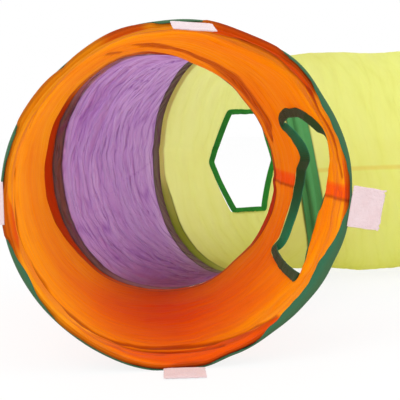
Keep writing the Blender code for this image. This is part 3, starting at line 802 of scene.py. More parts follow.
def window_field(points):
    """Distance outside the side window's outline on the right wall, negative inside it."""
    ys, zs, _, _ = window_outline()
    flat = points.reshape(-1, 3)
    result = np.ones(len(flat))
    near = flat[:, 0] > HOOPS["front"].centre[0] + 0.03
    for axis, line in ((1, ys), (2, zs)):
        near = near & (flat[:, axis] > line.min() - 0.01) & (flat[:, axis] < line.max() + 0.01)
    y = flat[near, 1][:, None]
    z = flat[near, 2][:, None]
    by = np.roll(ys, -1) - ys
    bz = np.roll(zs, -1) - zs
    along = np.clip(((y - ys) * by + (z - zs) * bz) / (by * by + bz * bz), 0.0, 1.0)
    far = np.hypot(y - ys - along * by, z - zs - along * bz).min(axis=1)
    above = (zs > z) != (zs + bz > z)
    cross = ys + (z - zs) * by / np.where(bz == 0, 1e-12, bz)
    inside = (above & (y < cross)).sum(axis=1) % 2 == 1
    result[near] = np.where(inside, -far, far)
    return result.reshape(points.shape[:-1])


class Corner:
    """Plane of the six-sided window: its centre, and its directions along, up and out of the wall."""

    def __init__(self):
        first = HOOPS["mitre"].ring(math.pi, CLOTH_RADIUS)
        last = HOOPS["outlet"].ring(math.pi, CLOTH_RADIUS)
        self.up = UP
        self.along = unit((last - first) * np.array([1.0, 1.0, 0.0]))
        self.out = np.cross(self.up, self.along)
        self.centre = first + (last - first) * CORNER_SHARE
        self.centre[2] = HOOPS["mitre"].centre[2] - 0.001

    def field(self, points):
        """Distance outside the hexagon with level top and bottom, negative inside it."""
        gap = points - self.centre
        x = gap @ self.along
        y = gap @ self.up
        wide = np.where(x < 0, *CORNER_WIDE)
        slope = math.hypot(CORNER_HALF, CORNER_CUT)
        side = (np.abs(x) * CORNER_HALF + np.abs(y) * CORNER_CUT - wide * CORNER_HALF) / slope
        inside = np.maximum(np.abs(y) - CORNER_HALF, side)
        return np.where(gap @ self.out > -0.08, inside, 1.0)


def solve(sleeve, targets, first, second, start_run, start_turn):
    """Run and angle where the sleeve meets lines: Newton's steps on two coordinates of the base."""
    run = np.array(start_run, dtype=float)
    turn = np.array(start_turn, dtype=float)
    step = 1e-5
    for _ in range(12):
        here = sleeve.base(run, turn)
        by_run = (sleeve.base(run + step, turn) - here) / step
        by_turn = (sleeve.base(run, turn + step) - here) / step
        gap = targets - here
        a11 = by_run @ first
        a12 = by_turn @ first
        a21 = by_run @ second
        a22 = by_turn @ second
        b1 = gap @ first
        b2 = gap @ second
        det = a11 * a22 - a12 * a21
        det = np.where(np.abs(det) < 1e-9, 1e-9, det)
        run = run + np.clip((b1 * a22 - b2 * a12) / det, -0.02, 0.02)
        turn = turn + np.clip((a11 * b2 - a21 * b1) / det, -0.2, 0.2)
    return run, turn


def cut_window(sleeve, run, turn, quads, field, axes):
    """Runs and angles whose points inside a window's border are moved onto it, and the quads to keep.

    The points move by Newton's steps on the field, along the two axes of the window's plane.
    """
    base = sleeve.base(run, turn)
    inside = (field(base) < 0).ravel()
    all_in = inside[quads].all(axis=1)
    touched = np.zeros(run.size, dtype=bool)
    touched[quads[inside[quads].any(axis=1) & ~all_in].ravel()] = True
    pick = np.flatnonzero(touched & inside)
    spots = base.reshape(-1, 3)[pick]
    first, second = axes
    small = 2e-5
    for _ in range(6):
        here = field(spots)
        gx = (field(spots + small * first) - here) / small
        gy = (field(spots + small * second) - here) / small
        size = np.maximum(gx * gx + gy * gy, 1e-6)
        spots = spots - (here * gx / size)[:, None] * first - (here * gy / size)[:, None] * second
    new_run = run.ravel().copy()
    new_turn = turn.ravel().copy()
    new_run[pick], new_turn[pick] = solve(sleeve, spots, first, second, new_run[pick], new_turn[pick])
    return new_run.reshape(run.shape), new_turn.reshape(turn.shape), ~all_in


# Fabric sleeves


def cloth_values(sleeve, run, turn, lift):
    """Shares of colour along the cloth: painted shadow of the tape behind it, its seam, painted shade in deep
    folds, and thin dark lines, at the seam and as painted shade elsewhere.
    """
    whole = sleeve.length(turn)
    wobble = 0.0007 * ripple(turn / math.tau, 30, sleeve.seed + 9, 3.5)
    limit = 0.42 * whole
    first = np.minimum(MM * around(turn, sleeve.start_reach) + wobble, limit)
    last = np.minimum(sleeve.tapes[1] + wobble, limit)
    left = whole - run
    start_share = 0.0 if sleeve.open_start else around(turn, sleeve.start_tape_shadow)
    end_share = 0.0 if sleeve.open_finish else around(turn, sleeve.end_tape_shadow)
    blur = 0.0009
    # Painted shadow of the tapes behind the cloth, and painted dark lines along the tapes' edges and at the
    # hoops
    start_tape_shadow = start_share * (1 - ease((run - first) / blur))
    end_tape_shadow = end_share * (1 - ease((left - last) / blur))
    line = start_share * bell((run - first - 0.0003) / 0.0008)
    line = line + end_share * bell((left - last - 0.0003) / 0.0008)
    line = line * 0.85 + 0.6 * start_share * bell(run / 0.0030) + 0.4 * end_share * bell(left / 0.0022)
    from_seam = np.abs((turn + math.pi) % math.tau - math.pi) * CLOTH_RADIUS
    if sleeve.seam:
        seam = sleeve.seam * (1 - ease((from_seam - 0.0050) / 0.0008))
        line = line + 0.6 * bell((from_seam - 0.0055) / 0.0012) * (turn > math.pi)
    else:
        seam = 0.8 * bell(from_seam / 0.0012)
    # Painted shade where the cloth sinks inwards
    painted_shade = np.clip(-lift / 0.006, 0.0, 0.3)
    # Painted shade on the orange arm: stronger low down, along its folds and on the rim at the mouth, with
    # painted dark lines on that rim in patches and on the rolled hem past it
    if sleeve.open_start:
        deep = around(turn, ORANGE_SHADE) * ease((run - 0.02) / 0.05)
        edge = 0.001 + MM * around(turn, RIM_SHADE_REACH)
        rim = ease((edge - run) / 0.002) * around(turn, RIM_SHADE)
        fold = strokes(run, turn, ORANGE_FOLDS)
        painted_shade = painted_shade + np.maximum(deep, rim) + 0.6 * fold
        patch = ease((noise(turn / math.tau * 44, run / 0.006, 77, 44) - 0.1) / 0.4)
        line = line + 0.72 * fold + (0.12 + 0.30 * patch) * rim + 0.45 * ease((-run - 0.0024) / 0.001)
    # Painted shade along the purple cloth's folds
    if sleeve.start is HOOPS["inlet"]:
        painted_shade = painted_shade + strokes(run, turn, PURPLE_FOLDS)
    lined = np.maximum(1 - ease((run - first) / 0.001), 1 - ease((left - last) / 0.001)) * (run > -0.001)
    values = {"tape_shadow": np.maximum(start_tape_shadow, end_tape_shadow), "seam": seam, "painted_shade": painted_shade, "line": line,
              "lined": lined}
    return {key: np.clip(value, 0.0, 1.0) for key, value in values.items()}


def make_sleeve(sleeve, rows, field=None, axes=None, shape=None):
    """Cloth over one sleeve, rolled round an open mouth's wire, with a window's faces left out."""
    settings = bpy.context.scene.tunnel_sizes
    cols = settings.columns
    turn_line = full_turn(cols) + math.pi / cols
    run = sleeve.rows(rows, turn_line)
    if sleeve.open_start:
        hem = np.linspace(-ROLL, 0.0, HEM_ROWS, endpoint=False)[:, None] + np.zeros((1, cols))
        run = np.concatenate([hem, run])
    if sleeve.open_finish:
        hem = sleeve.length(turn_line)[None, :] + np.linspace(0.0, ROLL, HEM_ROWS + 1)[1:, None]
        run = np.concatenate([run, hem])
    turn = np.broadcast_to(turn_line, run.shape)
    quads, qi, qj = grid_quads(len(run), cols, wrap_cols=True)
    keep = np.ones(len(quads), dtype=bool)
    if field is not None:
        run, turn, keep = cut_window(sleeve, run, turn, quads, field, axes)
    lift = wrinkles(sleeve, run, turn, settings.wrinkle_depth)
    if sleeve.open_start:
        lift = lift * ease((run - 0.001) / 0.006)
    if sleeve.open_finish:
        lift = lift * ease((sleeve.length(turn) - run - 0.001) / 0.006)
    if shape is not None:
        lift = lift + shape(run, turn)
    points = sleeve.base(run, turn) + lift[..., None] * sleeve.outward(run, turn)
    points[..., 2] = np.maximum(points[..., 2], CLOTH_GAP)
    wide_turn = np.concatenate([turn, turn[:, :1] + math.tau], 1)
    wide_run = np.concatenate([run, run[:, :1]], 1)
    uv = grid_uv(qi, qj, wide_turn * CLOTH_RADIUS, wide_run)
    values = cloth_values(sleeve, run, turn, lift)
    piece = lay_mesh(sleeve.name, points, quads[keep], uv[keep], values)
    work = bmesh.new()
    work.from_mesh(piece.data)
    bmesh.ops.delete(work, geom=[v for v in work.verts if not v.link_faces], context="VERTS")
    work.to_mesh(piece.data)
    work.free()
    return piece


def pressed_folds(run, turn):
    """The orange cloth's folds, pressed a little outwards."""
    return 0.0012 * strokes(run, turn, ORANGE_FOLDS)


def arm_drift(run, turn):
    """The yellow arm's slight belly on its near side."""
    return 0.0025 * bell((run - 0.12) / 0.07) * np.maximum(np.cos(turn), 0.0)


def area_of(piece):
    """Area of a piece's faces, in square metres."""
    areas = np.empty(len(piece.data.polygons))
    piece.data.polygons.foreach_get("area", areas)
    return float(areas.sum())


SLEEVES = {
    "orange": Sleeve(
        "orange_arm_cloth", "front", "inlet", 11, (0.45, 0.25, 0.5, 1.6), open_start=True, seam=0.8,
        draw=((0, 0.0), (30, 0.2), (60, 0.5), (100, 0.4), (130, 0.1), (180, 0.0), (230, 0.2), (270, 0.5),
              (320, 0.1)),
        bumps=((262, 52, 18, 40, 8.0), (314, 180, 15, 38, 9.0), (262, -30, 16, 22, 4.0),
               (214, 340, 16, 20, 4.0)),
        end_tape_shadow=((0, 1.0), (84, 0.9), (98, 0.25), (128, 0.2), (146, 1.0), (230, 1.0), (262, 0.5),
                   (300, 0.9)),
    ),
    "purple": Sleeve(
        "purple_elbow_cloth", "inlet", "mitre", 41, (1.4, 0.7, 2.2, 4.2), draw=((0, 0.2), (180, 0.2)),
        bumps=((15, 180, 11, 40, -6.0), (60, 100, 30, 26, -3.0), (110, 165, 40, 30, 4.0)),
        start_tape_shadow=((0, 1.0), (84, 0.9), (98, 0.2), (128, 0.15), (146, 1.0), (230, 1.0), (262, 0.6),
                     (300, 0.9)),
    ),
    "elbow": Sleeve(
        "yellow_elbow_cloth", "mitre", "outlet", 71, (0.5, 0.2, 0.7, 1.8), draw=((0, 0.2), (180, 0.2)),
        start_tape_shadow=((60, 0.15), (130, 0.05), (185, 0.1), (200, 0.7), (225, 1.0), (250, 1.0), (280, 0.8)),
        start_reach=((0, 10.5), (50, 10.5), (62, 6.0), (184, 6.0), (204, 10.5)),
    ),
    "yellow": Sleeve(
        "yellow_arm_cloth", "outlet", "end", 101, (0.45, 0.2, 0.6, 2.4), draw=((0, 0.0), (180, 0.0)),
        bumps=((40, 90, 50, 40, 7.0), (190, 88, 120, 44, 7.0), (150, 0, 90, 50, 2.0),
               (50, 312, 46, 34, 7.0), (180, 300, 120, 40, 5.0)),
        open_finish=True,
    ),
}

# The sleeves that end and start at each hoop
NEIGHBOURS = {
    "front": (None, SLEEVES["orange"]),
    "inlet": (SLEEVES["orange"], SLEEVES["purple"]),
    "mitre": (SLEEVES["purple"], SLEEVES["elbow"]),
    "outlet": (SLEEVES["elbow"], SLEEVES["yellow"]),
    "end": (SLEEVES["yellow"], None),
}


def follow(piece, sleeve):
    """Bakes a piece's place into its points.

    It works out where a blend between its sleeve's two hoops would start and end, on the line square
    to the middle of the two hoops and clear of their tapes, but uses neither.
    """
    first = sleeve.start
    last = sleeve.finish
    way = unit((first.n + last.n) * np.array([1.0, 1.0, 0.0]))
    turn = np.linspace(0, math.tau, 240)
    low = (first.ring(turn, CLOTH_RADIUS, sleeve.tapes[0]) @ way).max()
    high = (last.ring(turn, CLOTH_RADIUS, -sleeve.tapes[1]) @ way).min()
    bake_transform(piece)


def lay_cloth(key, rows, colour, panel, flat, **cut):
    """One sleeve's cloth in the place of its panel, held stretched between two hoops' tapes."""
    sleeve = SLEEVES[key]
    cloth = make_sleeve(sleeve, rows, **cut)
    dress(cloth, colour + "_taffeta")
    area = area_of(cloth)
    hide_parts(panel)
    follow(cloth, sleeve)


# Tapes over the hoops


def band_points(path_along, path_height, place, thickness):
    """Closed band: the path outside, then the path moved in by the thickness, laid on the hoop by place."""
    d_along = np.gradient(path_along, axis=0)
    d_height = np.gradient(path_height, axis=0)
    size = np.maximum(np.hypot(d_along, d_height), 1e-9)
    inner_along = path_along + thickness * d_height / size
    inner_height = path_height - thickness * d_along / size
    along = np.concatenate([path_along, inner_along[::-1]])
    height = np.concatenate([path_height, inner_height[::-1]])
    return place(along, height), along, height


def smooth_path(marks, count):
    """Path through marks of (along, height), rounded by a moving average; marks may change round the hoop."""
    marks = np.array(marks)
    stops = running(np.linalg.norm(np.diff(marks.mean(axis=2), axis=0), axis=1))
    t = np.linspace(0.0, stops[-1], count)
    k = np.clip(np.searchsorted(stops, t, side="right") - 1, 0, len(stops) - 2)
    share = ((t - stops[k]) / (stops[k + 1] - stops[k]))[:, None, None]
    out = marks[k] * (1 - share) + marks[k + 1] * share
    for _ in range(2):
        out[1:-1] = 0.25 * out[:-2] + 0.5 * out[1:-1] + 0.25 * out[2:]
    return out[:, 0], out[:, 1]


def casing(name, hoop, before, after):
    """Tape arched over one hoop's wire, its flanges lying on the cloth to each side.

    Its profile is a path through marks of (along, height) that differ with the angle. At a mouth it
    has one flange, and its other edge is the lip beside the cloth's rolled hem.
    """
    cols = 360
    turn = full_turn(cols)
    arc = turn / math.tau
    one = np.ones(cols)
    seed = seed_of(name)
    wave_a = 0.0006 * ripple(arc, 34, seed, 2.5) + 0.0003 * ripple(arc, 90, seed + 1)
    wave_b = 0.0006 * ripple(arc, 34, seed + 2, 5.5) + 0.0003 * ripple(arc, 90, seed + 3)
    curl_a = 0.0005 * np.abs(ripple(arc, 28, seed + 4, 1.5))
    curl_b = 0.0005 * np.abs(ripple(arc, 28, seed + 5, 8.5))
    bob = 0.00022 * ripple(arc, 70, seed + 6, 4.5)
    foot = 0.0008
    roof = 0.0043
    hump = ((HUMP_FOOT, foot), (0.0026, 0.0028), (0.0015, 0.0040), (0.0, roof), (-0.0015, 0.0040),
            (-0.0026, 0.0028), (-HUMP_FOOT, foot))
    ahead = 1.0 if after is not None else -1.0
    if before is None or after is None:
        lip = around(turn, END_LIP if after is None else GREEN_LIP)
        lip = lip * (1 + 0.16 * ripple(arc, 30, seed + 8) + 0.10 * ripple(arc, 80, seed + 9))
        show = one if after is None else lip_share(turn)
        drop = np.minimum(roof - MM * lip, 0.0039)
        marks = [[END_TAPE + wave_a, foot + curl_a], [0.012 * one, foot + bob]]
        marks += [[along * one, height + bob * (along > 0.003)] for along, height in hump[:4]]
        marks += [
            [-0.0016 * show, 0.0042 - 0.0002 * show],
            [-0.0001 - 0.0026 * show, 0.0041 - 0.0011 * show],
            [-0.0002 - 0.0027 * show, np.minimum(0.0040 - 0.0016 * show, roof - MM * lip * 0.5)],
            [-0.0003 - 0.0024 * show + 0.25 * np.maximum(-drop, 0.0) + 0.2 * wave_b * show,
             drop + 0.4 * wave_b * show],
        ]
    else:
        reach = MM * around(turn, after.start_reach)
        marks = [[reach + wave_a, foot + curl_a], [HUMP_FOOT + 0.46 * (reach - HUMP_FOOT), foot + bob]]
        marks += [[along * one, height * one] for along, height in hump]
        marks += [[-0.0070 * one, foot - bob], [-TAPE_HALF + wave_b, foot + curl_b]]
    path_along, path_height = smooth_path(marks, 46)

    def place(along, height):
        inwards = np.maximum(along, 0.0)
        if after is None:
            front = before.base(before.length(turn) - inwards, turn, height)
        else:
            front = after.base(inwards, turn, height)
        if before is None or after is None:
            behind = hoop.ring(turn, CLOTH_RADIUS + height, ahead * along)
            return np.where((along > 0.0)[..., None], front, behind)
        behind = before.base(before.length(turn) + np.minimum(along, 0.0), turn, height)
        return np.where((along >= 0.0)[..., None], front, behind)

    points, along, height = band_points(path_along, path_height, place, TAPE_THICK)
    points[..., 2] = np.maximum(points[..., 2], TAPE_GAP)
    rows = len(points)
    quads, qi, qj = grid_quads(rows, cols, wrap_rows=True, wrap_cols=True)
    stops = running(np.hypot(np.diff(along, axis=0), np.diff(height, axis=0)).mean(axis=1))
    u = np.append(turn, math.tau)[None, :] * HOOP_RADIUS
    v = np.append(stops, stops[-1] + TAPE_THICK)[:, None]
    half = rows // 2
    row = np.arange(rows)
    from_edge = np.minimum(np.minimum(row, half * 2 - 1 - row), np.abs(row - (half - 0.5)))
    edge = np.clip(1.0 - from_edge / 2.5, 0.0, 1.0)[:, None] * (0.55 + 0.3 * ripple(arc, 20, seed + 7))
    return lay_mesh(name, points, quads, grid_uv(qi, qj, u, v), {"edge": np.clip(edge, 0, 1)}, closed=True)


# Wires


def pipe(hoop, turn, grip, sides):
    """Points round the wire's circle: a grip's cosine added to its radius and its sine along the tunnel."""
    phi = full_turn(sides)[:, None]
    return hoop.ring(turn, WIRE_RING + grip * np.cos(phi), grip * np.sin(phi))


def wire_ring(name, hoop):
    """Round spring wire carried round the hoop's circle."""
    cols = 240
    sides = 10
    quads, _, _ = grid_quads(sides, cols, wrap_rows=True, wrap_cols=True)
    return lay_mesh(name, pipe(hoop, full_turn(cols)[None, :], WIRE_RADIUS, sides), quads, closed=True)


def ferrule(name, hoop):
    """Crimp sleeve over the wire's joint: a short closed barrel with three pressed grooves."""
    cols = 41
    sides = 14
    middle = math.radians((25 + 0.5) * 9)
    core = WIRE_RADIUS * 1.02
    s = np.linspace(-1.0, 1.0, cols)[None, :]
    turn = middle + s * 0.008 / WIRE_RING
    grip = WIRE_RADIUS * 1.62 - 0.00022 * bell((np.abs(s) - 0.5) / 0.09) - 0.0002 * bell(s / 0.09)
    grip = np.where(np.abs(s) > 0.999, core, grip)
    points = np.concatenate([pipe(hoop, turn, grip, sides), pipe(hoop, turn, core, sides)[:, ::-1]], 1)
    quads, _, _ = grid_quads(sides, 2 * cols, wrap_rows=True, wrap_cols=True)
    return weld(lay_mesh(name, points, quads))


# Window bindings


def binding(name, sleeve, run, turn, twist, width, shift, seed, pale=0.0):
    """Rounded flat band carried round a closed line on a sleeve, turned by a twist about it.

    Its section is a rounded box: the cosine and sine of an angle, each raised to a low power. Across
    points into the window from its edge, and out is square to the cloth.
    """
    path = sleeve.base(run, turn)
    out = sleeve.outward(run, turn)
    across = unit(np.cross(out, unit(np.roll(path, -1, 0) - np.roll(path, 1, 0))))
    across = across * np.sign(((path.mean(axis=0) - path) * across).sum())
    count = len(path)
    sides = 28
    phi = full_turn(sides)
    c = np.cos(phi)
    s = np.sin(phi)
    flat_w = np.sign(c) * np.abs(c) ** 0.55 * width / 2 + shift
    flat_t = np.sign(s) * np.abs(s) ** 0.75 * BINDING_THICK / 2
    w_axis = across * np.cos(twist)[:, None] - out * np.sin(twist)[:, None]
    t_axis = out * np.cos(twist)[:, None] + across * np.sin(twist)[:, None]
    arc = np.arange(count) / count
    bob = 0.0005 * ripple(arc, 40, seed) + 0.0003 * ripple(arc, 97, seed + 1)
    points = path[None] + flat_w[:, None, None] * w_axis[None]
    points = points + (flat_t[:, None, None] + bob[None, :, None]) * t_axis[None]
    quads, qi, qj = grid_quads(sides, count, wrap_rows=True, wrap_cols=True)
    u = running(np.linalg.norm(np.roll(path, -1, 0) - path, axis=1))[None, :]
    v = np.linspace(0.0, 2 * width, sides + 1)[:, None]
    edge = np.maximum(0.6 * bell((np.abs(c) - 1) / 0.18)[:, None], pale + np.zeros((1, count)))
    return lay_mesh(name, points, quads, grid_uv(qi, qj, u, v), {"edge": edge}, closed=True)


def round_binding(sleeve):
    """Binding of the side window: dropped on the wall, it stands outwards along its two upright sides."""
    ys, zs, twist, teal = window_outline()
    x, y, z = sleeve.start.centre
    flat = np.stack([np.full(len(ys), x + 0.11), ys, zs], 1)
    guess = np.arcsin(np.clip((zs - z) / CLOTH_RADIUS, -0.9, 0.9))
    run, turn = solve(sleeve, flat, np.array([0.0, 1.0, 0.0]), UP, ys - y, guess)
    return binding("side_window_edge", sleeve, run, turn, twist, 0.0088, 0.0037, 5, teal)


def hexagon_binding(sleeve, corner):
    """Binding of the six-sided window: a rounded hexagon dropped on the elbow's outer wall."""
    corners = np.array([(42.5, 0), (20.5, 64), (-26, 65), (-47.5, -1), (-22.5, -65), (20.5, -64)])
    x, y = closed_line(corners * MM * 0.995, 300, 10).T
    flat = corner.centre + x[:, None] * corner.along + y[:, None] * corner.up
    run = sleeve.length(np.full(len(x), math.pi)) * (CORNER_SHARE + x / 0.14)
    turn = math.pi - np.arcsin(np.clip(y / CLOTH_RADIUS, -0.9, 0.9))
    run, turn = solve(sleeve, flat, corner.along, corner.up, run, turn)
    twist = np.radians(8 + 14 * np.sin(3 * full_turn(len(x)) + 0.6))
    return binding("corner_window_edge", sleeve, run, turn, twist, 0.0074, 0.0026, 9)


# Hook-and-loop tabs

# Hoop, side, and three angles in degrees: round the hoop, how far it stands out, and its tilt
TABS = (
    ("front", "top", 85.5, -17.0, 2.0), ("front", "right", -4.2, 90.0, 6.0),
    ("front", "bottom", 270.0, 0.0, 4.0), ("front", "left", 180.0, 105.0, 0.0),
    ("end", "top", 90.0, -20.0, 3.0), ("end", "right", 0.0, 100.0, 5.0),
    ("end", "bottom", 270.0, 0.0, 0.0), ("end", "left", 180.0, 80.0, -4.0),
)
TAB_LENGTH = 0.0243
TAB_HALF = 0.0150
TAB_HALF_THICK = 0.00062


def tab(key, side, angle_deg, stand_deg, tilt_deg):
    """Fuzzy tab: a rounded flat strip that curls a little, thinned at both ends, ragged at its tip."""
    hoop = HOOPS[key]
    ahead = hoop.n * (-1.0 if key == "front" else 1.0)
    stand = math.radians(stand_deg)
    tilt = math.radians(tilt_deg)
    outward = hoop.radial(math.radians(angle_deg))
    level = unit(np.cross(hoop.n, outward))
    sewn_in = 0.0013
    sewn_ahead = 0.0033
    root = hoop.centre + (HOOP_RADIUS - sewn_in) * outward + sewn_ahead * ahead
    straight = math.cos(stand) * ahead + math.sin(stand) * outward
    lift = math.cos(stand) * outward - math.sin(stand) * ahead
    reach = math.cos(tilt) * straight + math.sin(tilt) * level
    tangent = math.cos(tilt) * level - math.sin(tilt) * straight
    rows = 40
    sides = 64
    s = np.linspace(0.0, 1.0, rows)[:, None]
    phi = full_turn(sides)[None, :]
    c = np.cos(phi)
    d = np.sin(phi)
    across = np.sign(c) * np.abs(c) ** 0.45 * TAB_HALF
    thick = np.sign(d) * np.abs(d) ** 0.6 * TAB_HALF_THICK
    close = np.minimum(1.0, np.sqrt(np.clip(np.minimum(s / 0.025, (1 - s) / 0.03), 0.0, 1.0)))
    seed = seed_of(key + side)
    ragged = 1 + 0.035 * noise(across / 0.0016 + 20, 0 * across, seed) * s**6
    length = TAB_LENGTH * s * ragged
    width = 1 + 0.02 * noise(s * 9, 0 * s, seed + 3)
    curl = 0.0013 * np.sin(math.pi * s) * (0.4 + 0.6 * (1 - (across / TAB_HALF) ** 2))
    fuzz = 0.00012 * noise(across / 0.0009 + 31, s * 28, seed + 1)
    height = thick * close + curl * (1 if stand_deg > 45 else -0.6) + fuzz * close * np.sign(d)
    points = root + length[..., None] * reach + (across * width)[..., None] * tangent
    points = points + height[..., None] * lift
    points[..., 2] = np.maximum(points[..., 2], 0.0002 + 0.00012 * (1 + d))
    quads, _, _ = grid_quads(rows, sides, wrap_cols=True)
    return weld(lay_mesh(key + "_" + side + "_tab_pile", points, quads), 1e-5)


# Stitches

STITCH_LENGTH = 0.0019
STITCH_RADIUS = 0.00026


def stitches(name, spots, ways, ups):
    """Short thread stitches: one small rounded bar copied to each spot, all as one array."""
    count = len(spots)
    rows = np.array([-0.5, -0.32, 0.0, 0.32, 0.5])
    girth = np.array([0.15, 0.8, 1.0, 0.8, 0.15])
    dip = np.array([-0.9, -0.1, 0.25, -0.1, -0.9])
    sides = 4
    phi = full_turn(sides)
    side_ways = np.cross(ways, ups)
    ring_side = girth[:, None] * np.cos(phi) * STITCH_RADIUS
    ring_up = (girth[:, None] * np.sin(phi) + dip[:, None]) * STITCH_RADIUS
    bars = spots[:, None, None] + (rows[None, :, None, None] * STITCH_LENGTH) * ways[:, None, None]
    bars = bars + ring_side[None, :, :, None] * side_ways[:, None, None]
    bars = bars + ring_up[None, :, :, None] * ups[:, None, None]
    quads, _, _ = grid_quads(len(rows), sides, wrap_cols=True)
    last = (len(rows) - 1) * sides
    caps = np.array([[0, 1, 2, 3], [last + 3, last + 2, last + 1, last]])
    first_points = np.arange(count) * len(rows) * sides
    quads = np.concatenate([quads, caps])[None] + first_points[:, None, None]
    return lay_mesh(name, bars, quads, closed=True)


def casing_stitches(name, before, after):
    """Rows of stitches along both flanges of a casing tape, and one row where a flange is narrow."""
    pitch = 0.0031
    inset = 0.0016
    second_row = 0.0052
    lift = 0.0010
    turn = full_turn(int(math.tau * HOOP_RADIUS / pitch))
    jobs = []
    if after is not None:
        far = MM * around(turn, after.start_reach) - inset
        jobs += [(after, far, 1), (after, np.where(far > 0.0070, second_row, -1.0), 1)]
    if before is not None:
        far = (END_TAPE if after is None else TAPE_HALF) - inset + 0 * turn
        jobs += [(before, far, -1), (before, second_row + 0 * turn, -1)]
    rows = []
    for sleeve, distance, sense in jobs:
        run = distance if sense > 0 else sleeve.length(turn) - distance
        here = sleeve.base(run, turn, lift)
        way = unit(sleeve.base(run, turn + 0.001, lift) - here)
        up = sleeve.outward(run, turn)
        up = unit(up - (up * way).sum(axis=1, keepdims=True) * way)
        rows.append((here, way, up, distance > 0))
    spots, ways, ups, shown = (np.concatenate(column) for column in zip(*rows))
    keep = (spots[:, 2] > 0.002) & shown
    return stitches(name, spots[keep], ways[keep], ups[keep])


# Stage


def make_floor():
    """Pale floor: a wide gently graded sheet that the camera sees as nearly white, keeping shadows."""
    count = 48
    line = np.linspace(-6.0, 6.0, count)
    x, y = np.meshgrid(line, line, indexing="ij")
    quads, _, _ = grid_quads(count, count)
    floor = lay_mesh("pale_floor", np.stack([x, y, np.zeros_like(x)], -1), quads)
    f = Shader(bpy.data.materials.new("pale_floor"))
    tone = f.noise(3.0, f.place())
    colour = f.mix(f.times(tone, 0.3), (0.86, 0.86, 0.86, 1.0), (0.84, 0.84, 0.845, 1.0))
    path = f.node("LightPath")
    glow = f.node("Emission", Color=WHITE, Strength=1.0)
    seen = f.times(path.outputs["Is Camera Ray"], 0.86)
    skin = f.skin(colour, 0.8, Specular_IOR_Level=0.1)
    floor.data.materials.append(f.done(f.blend(seen, skin, glow.outputs[0])))


def make_world(scene):
    """Even white room light; camera, mirror and glass rays see plain white."""
    scene.world = bpy.data.worlds.new("studio")
    f = Shader(scene.world, "OutputWorld")
    path = f.node("LightPath").outputs
    seen = f.math("MAXIMUM", path["Is Camera Ray"], path["Is Glossy Ray"])
    seen = f.math("MAXIMUM", seen, path["Is Transmission Ray"])
    strength = f.node("MapRange", Value=seen, To_Min=1.02, To_Max=1.0)
    background = f.node("Background", Color=WHITE, Strength=strength.outputs[0])
    f.done(background.outputs[0])


def make_lamp(name, place, target, size, power):
    """Large soft lamp aimed at a point."""
    lamp = bpy.data.lights.new(name, "AREA")
    lamp.shape = "DISK"
    lamp.size = size
    lamp.energy = power
    holder = bpy.data.objects.new(name, lamp)
    aim = (Vector(target) - Vector(place)).to_track_quat("-Z", "Y").to_matrix().to_4x4()
    holder.matrix_world = Matrix.Translation(Vector(place)) @ aim
    bpy.context.scene.collection.objects.link(holder)


def make_camera(scene):
    """Camera in front of the first mouth, a little above its middle and turned to the elbow."""
    yaw = math.radians(6.49)
    pitch = math.radians(5.46)
    roll = math.radians(-1.03)
    ahead = np.array([math.sin(yaw) * math.cos(pitch), math.cos(yaw) * math.cos(pitch), -math.sin(pitch)])
    right = unit(np.cross(ahead, UP))
    up = np.cross(right, ahead)
    data = bpy.data.cameras.new("camera")
    data.sensor_width = 36.0
    data.lens = 81.0
    data.clip_start = 0.01
    camera = bpy.data.objects.new("camera", data)
    columns = np.eye(4)
    columns[:3, 0] = right * math.cos(roll) + up * math.sin(roll)
    columns[:3, 1] = up * math.cos(roll) - right * math.sin(roll)
    columns[:3, 2] = -ahead
    columns[:3, 3] = (-0.233881, -0.891059, 0.184)
    camera.matrix_world = Matrix(columns.tolist())
    scene.collection.objects.link(camera)
    scene.camera = camera


# Settings


def shade(name, description, red, green, blue):
    """Colour setting whose default is written as screen values from 0 to 255."""
    return FloatVectorProperty(
        name=name, description=description, subtype="COLOR", default=linear(red, green, blue)[:3],
        min=0.0, max=1.0,
    )


class TunnelSizes(bpy.types.PropertyGroup):
    """Sizes of the cloth and tapes that a user may change."""

    waist_draw: FloatProperty(
        name="Waist draw", description="How far the cloth is drawn in between two hoops",
        default=0.005, min=0.0, max=0.02, unit="LENGTH",
    )
    wrinkle_depth: FloatProperty(
        name="Wrinkle depth", description="Depth of the folds, as a share of their usual depth",
        default=1.0, min=0.0, max=3.0, subtype="FACTOR",
    )
    columns: IntProperty(
        name="Columns", description="Points round a sleeve", default=360, min=80, max=480,
    )


class TunnelColours(bpy.types.PropertyGroup):
    """Colours of the cloths, the tapes and the tabs, as linear light."""

    orange: shade("Orange cloth", "First arm's cloth", 255, 158, 4)
    purple: shade("Purple cloth", "Elbow's first cloth", 204, 158, 222)
    yellow: shade("Yellow cloth", "Elbow's second cloth and second arm", 243, 247, 154)
    green: shade("Green tape", "Casing tape over the hoops", 52, 94, 60)
    tab: shade("Tab", "Hook-and-loop tabs", 222, 206, 210)


# Operators


class TUNNEL_OT_stage(bpy.types.Operator):
    """Lay the pale floor, and set the lamps, the world and the camera"""

    bl_idname = "tunnel.stage"
    bl_label = "Stage"

    def execute(self, context):
        scene = context.scene
        scene.view_settings.view_transform = "Standard"
        make_floor()
        make_world(scene)
        make_lamp("window_light", (-1.6, -2.0, 2.3), (-0.05, -0.05, 0.12), 2.2, 42.0)
        make_lamp("side_light", (1.9, -1.4, 1.7), (0.05, 0.0, 0.12), 1.8, 16.0)
        make_camera(scene)
        return {"FINISHED"}


